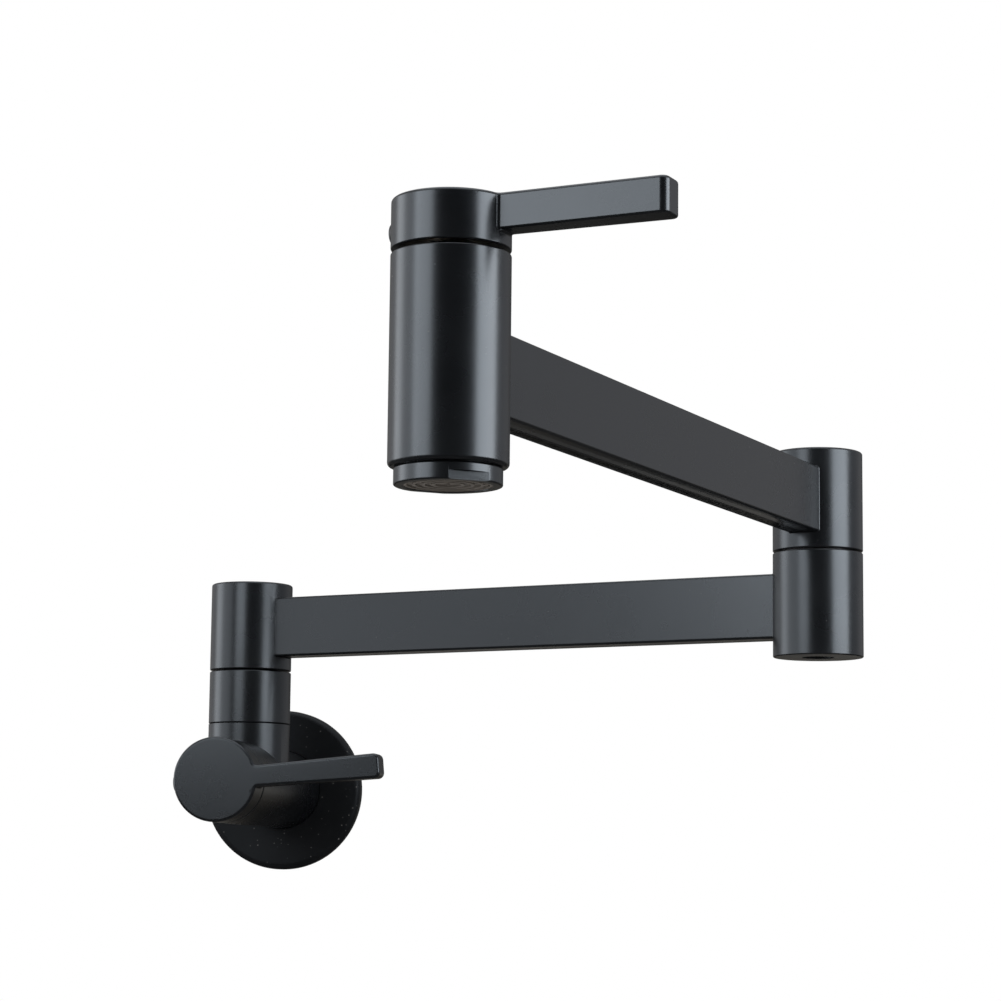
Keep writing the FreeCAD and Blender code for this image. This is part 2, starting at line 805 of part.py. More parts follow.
def add_lower_elbow():
    """Lower barrel of the elbow: journal bore, slip-ring counterbore and the screw's recess below."""
    top = elbow_seam - half_seam
    recess_floor = elbow_bottom + size.elbow_recess_depth
    bore_floor = elbow_bottom + size.barrel_floor
    washer_radius = size.elbow_washer_diameter / 2
    counterbore = top - size.elbow_washer_counterbore
    body = new_piece("elbow_lower_barrel", lower_elbow_frame)
    turn(body, [
        (elbow_recess_radius, elbow_bottom),
        (barrel_radius, elbow_bottom),
        (barrel_radius, top),
        (washer_radius, top),
        (washer_radius, counterbore),
        (journal_bore_radius, counterbore),
        (journal_bore_radius, bore_floor),
        (elbow_screw_hole_radius, bore_floor),
        (elbow_screw_hole_radius, recess_floor),
        (elbow_recess_radius, recess_floor),
    ])
    ease_rims(body, size.rim_radius, barrel_radius, elbow_bottom, top)
    cut_arm_window(body, inner_arm_bottom, towards_x=False)
    inner = journal_bore_radius + size.running_clearance
    outer = washer_radius - size.thread_clearance
    washer_top = elbow_seam + half_seam - size.running_clearance
    add_ring("elbow_thrust_washer", lower_elbow_frame, inner, outer, counterbore, washer_top)


def add_elbow_spindle():
    """Spindle under the upper barrel: journal and foot run in the lower barrel, with side ports between."""
    screwed = thread_radius - size.thread_clearance
    core = size.elbow_spindle_core_diameter / 2
    bore = size.elbow_spindle_bore_diameter / 2
    screw_hole = size.elbow_screw_diameter / 2
    bottom = elbow_bottom + size.barrel_floor + size.elbow_foot_gap
    foot_top = bottom + size.elbow_foot_length
    shoulder = elbow_seam + half_seam
    journal_base = shoulder - size.elbow_journal_length
    top = shoulder + size.barrel_floor
    bore_floor = bottom + size.elbow_bore_floor_height
    hole_top = bottom + size.elbow_screw_depth
    foot_ring = bottom + size.elbow_foot_length / 2
    journal_ring = journal_base + size.elbow_journal_length / 2
    floor = o_ring_outer_radius - size.o_ring_section
    body = new_piece("elbow_spindle", upper_elbow_frame)
    turn(body, [
        (screw_hole, bottom),
        (journal_radius, bottom),
        *groove_corners(journal_radius, floor, size.o_ring_groove_width, [foot_ring]),
        (journal_radius, foot_top),
        (core, foot_top),
        (core, journal_base),
        (journal_radius, journal_base),
        *groove_corners(journal_radius, floor, size.o_ring_groove_width, [journal_ring]),
        (journal_radius, shoulder),
        (screwed, shoulder),
        (screwed, top),
        (bore, top),
        (bore, bore_floor),
        (ZERO, bore_floor),
        (ZERO, hole_top),
        (screw_hole, hole_top),
    ])
    for plane in ("XZ_Plane", "YZ_Plane"):
        sketch = new_sketch(body, plane)
        draw_circle(sketch, ZERO, bottom + size.elbow_port_height, size.elbow_port_diameter / 2)
        pocket(body, sketch, size.journal_diameter, both_ways=True)
    rings = [foot_ring, journal_ring]
    add_o_rings("elbow_spindle_o_rings", upper_elbow_frame, o_ring_outer_radius, size.o_ring_section, rings)


def add_elbow_screw():
    """Socket screw and washer in the recess, which hold the spindle down in the lower barrel."""
    recess_floor = elbow_bottom + size.elbow_recess_depth
    washer_top = recess_floor - size.running_clearance
    washer_base = washer_top - size.elbow_screw_washer_thickness
    head_base = washer_base - size.elbow_screw_head_height
    shank = size.elbow_screw_diameter / 2 - size.thread_clearance
    head = elbow_recess_radius - size.elbow_screw_head_margin
    spindle_bottom = elbow_bottom + size.barrel_floor + size.elbow_foot_gap
    tip = spindle_bottom + size.elbow_screw_depth - size.running_clearance
    body = new_piece("elbow_retaining_screw", upper_elbow_frame)
    turn(body, [
        (ZERO, head_base),
        (head, head_base),
        (head, washer_base),
        (shank, washer_base),
        (shank, tip),
        (ZERO, tip),
    ])
    ease_rims(body, size.rim_radius, head, head_base)
    sketch = new_sketch(body, "XY_Plane", head_base)
    draw_hexagon(sketch, ZERO, ZERO, size.elbow_screw_socket)
    pocket(body, sketch, size.elbow_screw_socket_depth, reverse=True)
    outer = elbow_recess_radius - size.elbow_screw_washer_margin
    inner = elbow_screw_hole_radius
    add_ring("elbow_screw_washer", upper_elbow_frame, inner, outer, washer_base, washer_top)


def add_arm_tube(label, frame, bottom, reach):
    """Flat hollow arm between two barrels, coped to them, with the brazed fillet at each end."""
    middle = bottom + size.arm_height / 2
    body = new_piece(label, frame)
    sketch = new_sketch(body, "YZ_Plane")
    draw_rectangle(sketch, ZERO, middle, size.arm_thickness, size.arm_height)
    pad(body, sketch, reach)

    def along_arm(edge):
        ends = edge_points(edge)
        return near(abs(ends[-1].x - ends[0].x), reach.value)

    ease_edges(body, size.arm_edge_radius, along_arm)
    # A stand-in for both barrels is padded on, filleted to the arm and cut away again, a hair wider
    rise = size.braze_radius * 2
    sketch = new_sketch(body, "XY_Plane", bottom - rise)
    for x in (ZERO, reach):
        draw_circle(sketch, x, ZERO, barrel_radius)
    pad(body, sketch, size.arm_height + rise * 2)

    def at_barrel(edge):
        points = edge_points(edge)
        low, high = bottom.value - MATCH_TOLERANCE, bottom.value + size.arm_height.value + MATCH_TOLERANCE
        if not all(low < p.z < high and abs(p.y) < size.arm_thickness.value for p in points):
            return False
        radius = barrel_radius.value
        return any(all(near(math.hypot(p.x - x.value, p.y), radius) for p in points) for x in (ZERO, reach))

    ease_edges(body, size.braze_radius, at_barrel)
    sketch = new_sketch(body, "XY_Plane", middle)
    for x in (ZERO, reach):
        draw_circle(sketch, x, ZERO, barrel_radius + size.braze_gap)
    pocket(body, sketch, size.arm_height + rise * 4, both_ways=True)
    sketch = new_sketch(body, "YZ_Plane")
    width = size.arm_thickness - size.arm_wall * 2
    height = size.arm_height - size.arm_wall * 2
    draw_rectangle(sketch, ZERO, middle, width, height)
    pocket(body, sketch, reach * 2, both_ways=True)


def add_spout_body():
    """Spout barrel: valve bore from above, waterway, and the aerator's threaded pocket below."""
    body = new_piece("spout_body", spout_frame)
    turn(body, [
        (ZERO, spout_bottom),
        (barrel_radius, spout_bottom),
        (barrel_radius, spout_mouth),
        (ZERO, spout_mouth),
    ])
    ease_rims(body, size.rim_radius, barrel_radius, spout_mouth)
    ease_rims(body, size.spout_rim_radius, barrel_radius, spout_bottom)
    cut_valve_bore(body, spout_mouth, nozzle=False)
    pocket_top = spout_bottom + size.aerator_pocket_depth
    waterway = size.waterway_diameter / 2
    seat = spout_mouth - size.seat_depth
    turn(body, [
        (ZERO, spout_bottom),
        (aerator_thread_radius, spout_bottom),
        (aerator_thread_radius, pocket_top),
        (waterway, pocket_top),
        (waterway, seat),
        (ZERO, seat),
    ], adds=False)
    cut_arm_window(body, outer_arm_bottom, towards_x=False)


def add_aerator_housing():
    """Screw-in aerator housing: threaded top, thin neck, visible ring with two wrench flats and a lip."""
    ring_top = spout_bottom - size.aerator_gap
    thread_base = spout_bottom + size.aerator_gap
    thread = aerator_thread_radius - size.thread_clearance
    top = spout_bottom + size.aerator_thread_length
    lip = aerator_bore_radius - size.aerator_lip_width
    lip_top = aerator_bottom + size.aerator_lip_thickness
    body = new_piece("aerator_housing", aerator_frame)
    turn(body, [
        (lip, aerator_bottom),
        (aerator_ring_radius, aerator_bottom),
        (aerator_ring_radius, ring_top),
        (aerator_neck_radius, ring_top),
        (aerator_neck_radius, thread_base),
        (thread, thread_base),
        (thread, top),
        (aerator_bore_radius, top),
        (aerator_bore_radius, lip_top),
        (lip, lip_top),
    ])
    ease_rims(body, size.aerator_ring_edge_radius, aerator_ring_radius, aerator_bottom, ring_top)
    depth = size.aerator_flat_depth + size.cut_overrun
    middle = aerator_ring_radius - size.aerator_flat_depth + depth / 2
    sketch = new_sketch(body, "XY_Plane", aerator_bottom)
    for side in (middle, -middle):
        draw_rectangle(sketch, side, ZERO, depth, aerator_ring_radius * 2)
    pocket(body, sketch, size.aerator_flat_height, reverse=True)


def add_aerator_insert():
    """Flow straightener: a drilled plate in a sleeve, with concentric ribs below the plate."""
    outer = aerator_bore_radius - size.thread_clearance
    inner = outer - size.insert_wall
    bottom = aerator_bottom + size.aerator_lip_thickness
    top = spout_bottom + size.aerator_thread_length
    plate_base = bottom + size.insert_plate_rise
    plate_top = plate_base + size.insert_plate_thickness
    rib_base = bottom + size.insert_rib_setback
    half_rib = size.insert_rib_thickness / 2
    comb = [(ZERO, rib_base), (half_rib, rib_base), (half_rib, plate_base)]
    for number in range(1, SIZES["insert_rib_count"] + 1):
        rib = size.insert_rib_spacing * number
        comb += [
            (rib - half_rib, plate_base),
            (rib - half_rib, rib_base),
            (rib + half_rib, rib_base),
            (rib + half_rib, plate_base),
        ]
    body = new_piece("aerator_insert", aerator_frame)
    turn(body, [
        *comb,
        (inner, plate_base),
        (inner, bottom),
        (outer, bottom),
        (outer, top),
        (inner, top),
        (inner, plate_top),
        (ZERO, plate_top),
    ])
    for number in range(SIZES["insert_rib_count"]):
        sketch = new_sketch(body, "XY_Plane", plate_top + size.cut_overrun)
        middle = size.insert_rib_spacing * number + size.insert_rib_spacing / 2
        draw_circle(sketch, middle, ZERO, size.insert_hole_diameter / 2)
        hole = pocket(body, sketch, size.insert_plate_thickness + size.cut_overrun * 2)
        pattern = body.newObject("PartDesign::PolarPattern", "holes")
        pattern.Originals = [hole]
        pattern.Axis = (sketch, ["N_Axis"])
        pattern.Angle = FULL_TURN
        share = 1 / (SIZES["insert_rib_count"] - number)
        pattern.Occurrences = int(SIZES["insert_hole_count"] * share)
        body.Tip = pattern
        document.recompute()
    washer_top = spout_bottom + size.aerator_pocket_depth
    washer_bore = size.aerator_washer_bore_diameter / 2
    add_ring("aerator_washer", aerator_frame, washer_bore, outer, top, washer_top)


def add_cartridge_housing(label, frame):
    """Brass housing of the headwork: disc room below, stem bore above, side windows for the water."""
    room = disc_radius + size.running_clearance
    outer = size.housing_diameter / 2
    flange = nut_pocket_radius - size.housing_flange_margin
    neck = size.housing_neck_diameter / 2
    bottom = seat_level + size.seal_proud
    floor = guide_radius - size.thread_clearance - size.o_ring_section
    body = new_piece(label, frame)
    turn(body, [
        (room, bottom),
        (outer, bottom),
        *groove_corners(outer, floor, size.o_ring_groove_width, [housing_groove_middle]),
        (outer, housing_flange_base),
        (flange, housing_flange_base),
        (flange, housing_flange_top),
        (neck, housing_flange_top),
        (neck, housing_top),
        (stem_bore_radius, housing_top),
        (stem_bore_radius, housing_ceiling),
        (room, housing_ceiling),
    ])
    sketch = new_sketch(body, "XZ_Plane")
    middle = fixed_disc_top + size.housing_window_height / 2
    draw_rectangle(sketch, ZERO, middle, size.housing_window_width, size.housing_window_height)
    pocket(body, sketch, size.barrel_diameter, both_ways=True)


def add_disc(label, frame, base, ports_along_x, slotted):
    """Ceramic disc with two ports, and the slot for the stem's tongue where it moves."""
    body = new_piece(label, frame)
    sketch = new_sketch(body, "XY_Plane", base)
    draw_circle(sketch, ZERO, ZERO, disc_radius)
    pad(body, sketch, size.disc_thickness)
    sketch = new_sketch(body, "XY_Plane", base + size.disc_thickness)
    for offset in (size.disc_port_offset, -size.disc_port_offset):
        x, y = (offset, ZERO) if ports_along_x else (ZERO, offset)
        draw_circle(sketch, x, y, size.disc_port_diameter / 2)
    pocket(body, sketch, size.disc_thickness + size.cut_overrun)
    if slotted:
        sketch = new_sketch(body, "XY_Plane", base + size.disc_thickness)
        width = size.stem_tongue_width + size.running_clearance * 2
        draw_rectangle(sketch, ZERO, ZERO, size.barrel_diameter, width)
        pocket(body, sketch, size.stem_tongue_depth + size.running_clearance)


def add_stem(prefix, frame):
    """Stem that turns the upper disc, with its tongue, shoulder, O-ring, clip and the flat for the screw."""
    shoulder = disc_radius - size.stem_shoulder_margin
    clip_middle = clip_base + size.clip_thickness / 2
    ring_middle = -size.stem_o_ring_depth
    body = new_piece(f"{prefix}_valve_stem", frame)
    clip_width = size.clip_thickness + size.thread_clearance * 2
    turn(body, [
        (ZERO, stem_foot),
        (stem_radius, stem_foot),
        (stem_radius, stem_shoulder_base),
        (shoulder, stem_shoulder_base),
        (shoulder, stem_shoulder_top),
        (stem_radius, stem_shoulder_top),
        *groove_corners(stem_radius, stem_groove_radius, size.stem_o_ring_groove_width, [ring_middle]),
        *groove_corners(stem_radius, stem_top_radius, clip_width, [clip_middle]),
        (stem_radius, size.stem_step_height),
        (stem_top_radius, size.stem_step_height),
        (stem_top_radius, size.stem_top_height),
        (ZERO, size.stem_top_height),
    ])
    sketch = new_sketch(body, "XY_Plane", moving_disc_top - size.stem_tongue_depth)
    draw_rectangle(sketch, ZERO, ZERO, size.stem_tongue_length, size.stem_tongue_width)
    pad(body, sketch, size.stem_tongue_depth + size.running_clearance)
    sketch = new_sketch(body, "XY_Plane", size.stem_top_height)
    beyond = stem_top_radius + size.cut_overrun
    draw_polygon(sketch, [
        (-size.stem_flat_offset, -beyond),
        (-size.stem_flat_offset, beyond),
        (-beyond, beyond),
        (-beyond, -beyond),
    ])
    pocket(body, sketch, size.stem_top_height - size.stem_step_height)
    ring_outer = stem_bore_radius - size.thread_clearance
    add_o_rings(f"{prefix}_stem_o_ring", frame, ring_outer, size.stem_o_ring_section, [ring_middle])
    clip = new_piece(f"{prefix}_stem_clip", frame)
    clip_inner = stem_top_radius + size.thread_clearance
    clip_outer = size.clip_diameter / 2
    clip_top = clip_base + size.clip_thickness
    turn(clip, [
        (clip_inner, clip_base),
        (clip_outer, clip_base),
        (clip_outer, clip_top),
        (clip_inner, clip_top),
    ], angle=size.clip_wrap_angle)


def add_cartridge_nut(label, frame):
    """Ring nut that clamps the headwork in its pocket, with two spanner slots."""
    inner = size.housing_neck_diameter / 2 + size.running_clearance
    outer = nut_pocket_radius - size.thread_clearance
    body = add_ring(label, frame, inner, outer, housing_flange_top, housing_top)
    sketch = new_sketch(body, "XY_Plane", housing_top)
    draw_rectangle(sketch, ZERO, ZERO, size.nut_slot_width, size.barrel_diameter)
    pocket(body, sketch, size.nut_slot_depth)


def add_headwork(prefix, frame):
    """Everything inside one quarter-turn valve."""
    add_cartridge_housing(f"{prefix}_cartridge_housing", frame)
    add_o_rings(
        f"{prefix}_housing_o_ring",
        frame,
        guide_radius - size.thread_clearance,
        size.o_ring_section,
        [housing_groove_middle],
    )
    seal_inner = size.seal_bore_diameter / 2
    add_ring(f"{prefix}_seat_seal", frame, seal_inner, disc_radius, seat_level, seal_top)
    add_disc(f"{prefix}_fixed_disc", frame, seal_top, ports_along_x=True, slotted=False)
    add_disc(f"{prefix}_moving_disc", frame, moving_disc_base, ports_along_x=False, slotted=True)
    add_cartridge_nut(f"{prefix}_cartridge_nut", frame)
    add_stem(prefix, frame)


def add_handle(label, frame):
    """Lever and cap in one casting, with the stem's socket and the grub screw's hole."""
    top = size.cap_height
    lever_base = top - size.lever_depth
    half_hub = size.lever_hub_width / 2
    half_tip = size.lever_tip_width / 2
    body = new_piece(label, frame)
    sketch = new_sketch(body, "XY_Plane", lever_base)
    draw_polygon(sketch, [
        (ZERO, -half_hub),
        (size.lever_length, -half_tip),
        (size.lever_length, half_tip),
        (ZERO, half_hub),
    ])
    pad(body, sketch, size.lever_depth)

    def at_tip(edge):
        points = edge_points(edge)
        return all(near(p.x, size.lever_length.value) and near(abs(p.y), half_tip.value) for p in points)

    def under_lever(edge):
        points = edge_points(edge)
        return all(near(p.z, lever_base.value) for p in points) and not all(near(p.x, 0) for p in points)

    def at_root(edge):
        points = edge_points(edge)
        if not all(near(math.hypot(p.x, p.y), barrel_radius.value) and p.x > 0 for p in points):
            return False
        return all(p.z > lever_base.value - MATCH_TOLERANCE and abs(p.y) < p.x for p in points)

    def on_top(edge):
        return all(near(p.z, top.value) for p in edge_points(edge))

    ease_edges(body, size.lever_corner_radius, at_tip)
    ease_edges(body, size.lever_edge_radius, under_lever)
    turn(body, [(ZERO, size.cap_gap), (barrel_radius, size.cap_gap), (barrel_radius, top), (ZERO, top)])
    ease_edges(body, size.lever_root_radius, at_root)
    ease_edges(body, size.top_rim_radius, on_top)
    ease_rims(body, size.rim_radius, barrel_radius, size.cap_gap)
    recess = size.cap_recess_diameter / 2
    recess_top = size.cap_gap + size.cap_recess_depth
    socket = stem_top_radius + size.running_clearance
    socket_end = size.stem_top_height + size.stem_end_gap
    turn(body, [
        (ZERO, size.cap_gap),
        (recess, size.cap_gap),
        (recess, recess_top),
        (socket, recess_top),
        (socket, socket_end),
        (ZERO, socket_end),
    ], adds=False)
    sketch = new_sketch(body, "YZ_Plane")
    draw_circle(sketch, ZERO, plug_level, size.grub_screw_diameter / 2)
    pocket(body, sketch, barrel_radius + size.cut_overrun)
    sketch = new_sketch(body, "YZ_Plane", size.plug_seat_depth - barrel_radius)
    seat_radius = size.plug_head_diameter / 2 + size.thread_clearance
    draw_circle(sketch, ZERO, plug_level, seat_radius)
    pocket(body, sketch, size.plug_seat_depth + size.cut_overrun)


def add_grub_screw(label, frame):
    """Headless socket screw that presses on the stem's flat."""
    body = new_piece(label, frame)
    sketch = new_sketch(body, "YZ_Plane", grub_screw_end)
    draw_circle(sketch, ZERO, plug_level, size.grub_screw_diameter / 2 - size.thread_clearance)
    pad(body, sketch, size.grub_screw_length)
    sketch = new_sketch(body, "YZ_Plane", grub_screw_end)
    draw_hexagon(sketch, ZERO, plug_level, size.grub_screw_socket)
    pocket(body, sketch, size.grub_screw_socket_depth, reverse=True)


def add_handle_plug(label, frame):
    """Crowned round plug that covers the grub screw's hole."""
    head = size.plug_head_diameter / 2
    shank = size.grub_screw_diameter / 2 - size.thread_clearance
    seat = size.plug_seat_depth - barrel_radius
    face = -(barrel_radius + size.plug_proud)
    end = grub_screw_end - size.plug_screw_gap
    body = new_piece(label, frame)
    turn_lying(body, "XZ_Plane", plug_level, [
        (face, ZERO),
        (face, head),
        (seat, head),
        (seat, shank),
        (end, shank),
        (end, ZERO),
    ])

    def on_crown(edge):
        return all(near(p.x, face.value) for p in edge_points(edge))

    ease_edges(body, size.plug_crown_radius, on_crown)


def add_handle_set(prefix, frame):
    """One handle with its screw and plug."""
    add_handle(f"{prefix}_handle_lever", frame)
    add_grub_screw(f"{prefix}_handle_grub_screw", frame)
    add_handle_plug(f"{prefix}_handle_plug", frame)


def build():
    """Builds every piece of the tap, from the wall outwards."""
    fill_sheet()
    add_wall_flange()
    add_flange_seals()
    add_inlet()
    add_wall_valve_body()
    add_headwork("wall", wall_valve_frame)
    add_handle_set("wall", wall_valve_frame)
    add_collar()
    add_base_spindle()
    base_bottom = column_seam + half_seam
    add_capped_barrel(
        "base_barrel", "base_barrel_cap", column_frame, base_bottom, column_top, inner_arm_bottom
    )
    add_arm_tube("inner_arm_tube", column_frame, inner_arm_bottom, size.inner_reach)
    add_lower_elbow()
    add_elbow_spindle()
    add_elbow_screw()
    upper_bottom = elbow_seam + half_seam
    add_capped_barrel(
        "elbow_upper_barrel", "elbow_barrel_cap", upper_elbow_frame, upper_bottom, elbow_top, outer_arm_bottom
    )
    add_arm_tube("outer_arm_tube", upper_elbow_frame, outer_arm_bottom, size.outer_reach)
    add_spout_body()
    add_headwork("spout", spout_valve_frame)
    add_handle_set("spout", spout_valve_frame)
    add_aerator_housing()
    add_aerator_insert()


def check_model():
    """Stops if any object failed or any piece is empty or broken."""
    for item in document.Objects:
        if "Invalid" in item.State or "Error" in item.State:
            raise RuntimeError(f"{item.Label} failed: {item.State}")
    for body in parts:
        if body.Shape.isNull() or not body.Shape.isValid():
            raise RuntimeError(f"{body.Label} has no valid shape")


def write_parts():
    """Writes each piece to its own file."""
    os.makedirs("parts", exist_ok=True)
    for body in parts:
        body.Shape.exportStep(f"parts/{body.Label}.step")
        print(f"{body.Label}: {len(body.Shape.Solids)} solid(s), {body.Shape.Volume:.1f} mm3")


build()
document.recompute()
check_model()
write_parts()
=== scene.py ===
"""A matt-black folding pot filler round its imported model. Pieces are drawn in mm and placed in metres."""

import json
import logging
import math
from collections.abc import Callable, Sequence
from dataclasses import dataclass
from enum import Enum, IntEnum

import bmesh
import bpy
from mathutils import Matrix, Vector


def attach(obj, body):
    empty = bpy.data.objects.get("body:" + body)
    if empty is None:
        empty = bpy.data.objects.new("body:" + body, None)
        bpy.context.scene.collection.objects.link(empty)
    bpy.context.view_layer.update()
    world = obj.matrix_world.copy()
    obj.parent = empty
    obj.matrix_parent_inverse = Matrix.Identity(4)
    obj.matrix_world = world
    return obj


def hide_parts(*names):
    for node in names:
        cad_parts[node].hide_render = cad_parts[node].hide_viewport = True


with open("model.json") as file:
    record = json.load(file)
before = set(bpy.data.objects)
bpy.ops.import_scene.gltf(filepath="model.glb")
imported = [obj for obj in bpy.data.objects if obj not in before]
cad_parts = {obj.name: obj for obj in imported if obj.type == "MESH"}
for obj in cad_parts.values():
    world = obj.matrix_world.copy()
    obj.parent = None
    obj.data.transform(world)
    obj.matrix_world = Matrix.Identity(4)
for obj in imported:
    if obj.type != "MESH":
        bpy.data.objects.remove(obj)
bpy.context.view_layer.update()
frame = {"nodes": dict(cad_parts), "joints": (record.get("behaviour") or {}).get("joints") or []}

AXES = {joint["name"]: Vector(joint["pos_m"]) for joint in frame["joints"]}

MM = 0.001
ROUND_STEPS = 160
BORE_STEPS = 96
PLUG_STEPS = 64
GRUB_STEPS = 48
DRILL_STEPS = 16
OVERRUN = 1.0
MERGE_DISTANCE = 0.0005
TINY = 0.004
ALONG_X, ALONG_Z = 0, 2
SMOOTH_ANGLE = math.radians(32)
QUARTER_TURN = math.pi / 2

Piece = bpy.types.Object
Material = bpy.types.Material
Socket = bpy.types.NodeSocket
Pair = tuple[float, float]
Triple = tuple[float, float, float]
Tone = tuple[float, float, float, float]
Row = tuple[float, float, float, float]

UNIT: Pair = (0.0, 1.0)
NOISE_RANGE: Pair = (0.3, 0.7)
GRAIN_RANGE: Pair = (0.2, 0.6)

log = logging.getLogger("pot_filler")


class Slot(Enum):
    """The record's material slots."""

    PAINT = "black_paint"
    BLACK_PLASTIC = "black_plastic"
    BRASS = "brass"
    STAINLESS = "stainless"
    CERAMIC = "ceramic"
    RUBBER = "rubber"
    FOAM = "foam"
    FIBRE = "fibre"
    SLIP_PLASTIC = "slip_plastic"
    AERATOR_PLASTIC = "aerator_plastic"


class Kind(Enum):
    """What an edit-mode choice picks."""

    VERTEX = "VERT"
    EDGE = "EDGE"


class Rim(IntEnum):
    """How many faces round a rim, by how far it is rounded."""

    HAIRLINE = 2
    NARROW = 3
    LOW = 4
    USUAL = 5
    WIDE = 6
    BROAD = 9


# ---------------------------------------------------------------- modelling


@dataclass(frozen=True)
class Corner:
    """One corner of a turned outline: radius and level in mm, and how far its rim is rounded."""

    radius: float
    level: float
    rounding: float = 0.0
    steps: int = Rim.USUAL


def deselect_all() -> None:
    """Leaves edit mode and drops every selection."""
    if bpy.context.object and bpy.context.object.mode != "OBJECT":
        bpy.ops.object.mode_set(mode="OBJECT")
    bpy.ops.object.select_all(action="DESELECT")


def work_on(piece: Piece) -> None:
    """Makes one piece the only selected and active object.

    Args:
        piece: The piece.
    """
    deselect_all()
    piece.select_set(True)
    bpy.context.view_layer.objects.active = piece


def pick(piece: Piece, kind: Kind, test: Callable[[object], bool]) -> None:
    """Selects, in edit mode, the vertices or edges that pass a test, and nothing else.

    Args:
        piece: The object being edited.
        kind: What to select.
        test: Tells from a bmesh element whether to select it.
    """
    bpy.ops.mesh.select_mode(type=kind.value)
    bpy.ops.mesh.select_all(action="DESELECT")
    shape = bmesh.from_edit_mesh(piece.data)
    for item in {Kind.VERTEX: shape.verts, Kind.EDGE: shape.edges}[kind]:
        if test(item):
            item.select_set(True)
    shape.select_flush_mode()
    bmesh.update_edit_mesh(piece.data)


def pick_level(piece: Piece, axis: int, level: float) -> None:
    """Selects the edges that lie at one level of an axis."""
    pick(piece, Kind.EDGE, lambda edge: all(abs(vertex.co[axis] - level) < TINY for vertex in edge.verts))


def move_vertices(piece: Piece, place: Callable[[Vector], Sequence[float]]) -> None:
    """Moves each vertex of a piece in edit mode.

    Args:
        piece: The object being edited.
        place: Tells from a vertex's place its new one.
    """
    shape = bmesh.from_edit_mesh(piece.data)
    for vertex in shape.verts:
        vertex.co = place(vertex.co)
    bmesh.update_edit_mesh(piece.data)


def extrude(x: float, y: float, z: float) -> None:
    """Extrudes what is selected."""
    bpy.ops.mesh.extrude_region_move(TRANSFORM_OT_translate={"value": (x, y, z)})


def start_edit(name: str, add: Callable[..., object], **settings: object) -> Piece:
    """Adds a primitive with nothing else selected, names it and enters edit mode with all of it selected.

    Args:
        name: The new piece's name.
        add: The operator that adds the primitive.
        **settings: The operator's settings.

    Returns:
        The new object, in edit mode.
    """
    deselect_all()
    add(**settings)
    bpy.ops.object.transform_apply(location=False, rotation=True, scale=False)
    piece = bpy.context.object
    piece.name = piece.data.name = name
    bpy.ops.object.mode_set(mode="EDIT")
    bpy.ops.mesh.select_mode(type="VERT")
    bpy.ops.mesh.select_all(action="SELECT")
    return piece


def draw_line(name: str, points: Sequence[Vector]) -> Piece:
    """Draws a line vertex by vertex.

    Args:
        name: The new piece's name.
        points: The line's points.

    Returns:
        The new object, in edit mode.
    """
    piece = start_edit(name, bpy.ops.mesh.primitive_plane_add, size=1)
    bpy.ops.mesh.merge(type="CENTER")
    bpy.ops.transform.translate(value=points[0])
    for last, point in zip(points, points[1:]):
        bpy.ops.mesh.extrude_vertices_move(TRANSFORM_OT_translate={"value": point - last})
    return piece


def round_corner(piece: Piece, place: Vector, offset: float, steps: int) -> None:
    """Rounds one corner of a line being edited."""
    pick(piece, Kind.VERTEX, lambda vertex: (vertex.co - place).length < TINY)
    bpy.ops.mesh.bevel(offset=offset, segments=steps, affect="VERTICES")


def lathe(name: str, corners: Sequence[Corner], steps: int = ROUND_STEPS) -> Piece:
    """Draws an outline vertex by vertex, rounds its corners and spins it about the local Z axis.

    Args:
        name: The new piece's name.
        corners: The outline: a line that starts and ends on the axis, or a ring clear of it.
        steps: How many faces go round.

    Returns:
        The turned piece, in mm, about the local Z axis.
    """
    piece = draw_line(name, [Vector((corner.radius, 0, corner.level)) for corner in corners])
    if min(corner.radius for corner in corners) > 0:
        pick(piece, Kind.VERTEX, lambda vertex: len(vertex.link_edges) == 1)
        bpy.ops.mesh.edge_face_add()
    for corner in (corner for corner in corners if corner.rounding):
        round_corner(piece, Vector((corner.radius, 0, corner.level)), corner.rounding, corner.steps)
    bpy.ops.mesh.select_all(action="SELECT")
    bpy.ops.mesh.spin(steps=steps, angle=math.tau, center=(0, 0, 0), axis=(0, 0, 1))
    close_up()
    return piece


def close_up() -> None:
    """Merges doubles, turns every face outwards and leaves edit mode."""
    bpy.ops.mesh.select_all(action="SELECT")
    bpy.ops.mesh.remove_doubles(threshold=MERGE_DISTANCE)
    bpy.ops.mesh.dissolve_degenerate(threshold=MERGE_DISTANCE)
    bpy.ops.mesh.select_all(action="SELECT")
    bpy.ops.mesh.normals_make_consistent(inside=False)
    bpy.ops.object.mode_set(mode="OBJECT")


def apply(piece: Piece, kind: str, **settings: object) -> None:
    """Puts one modifier on a piece and applies it.

    Args:
        piece: The piece.
        kind: The modifier's type.
        **settings: Its properties.
    """
    work_on(piece)
    modifier = piece.modifiers.new(kind.lower(), kind)
    for key, value in settings.items():
        setattr(modifier, key, value)
    bpy.ops.object.modifier_apply(modifier=modifier.name)


def combine(piece: Piece, other: Piece, operation: str = "DIFFERENCE") -> None:
    """Cuts a shape out of a piece, joins it on or keeps what they share, and removes the shape."""
    apply(piece, "BOOLEAN", object=other, operation=operation, solver="EXACT")
    bpy.data.objects.remove(other)


def block(low: Triple, high: Triple) -> Piece:
    """A plain cutter between two corners.

    Args:
        low: Lowest corner in mm.
        high: Highest corner in mm.

    Returns:
        The cutter.
    """
    cutter = start_edit("cutter", bpy.ops.mesh.primitive_cube_add, size=1)
    bpy.ops.transform.resize(value=[b - a for a, b in zip(low, high)], center_override=(0, 0, 0))
    bpy.ops.transform.translate(value=[(a + b) / 2 for a, b in zip(low, high)])
    bpy.ops.object.mode_set(mode="OBJECT")
    return cutter


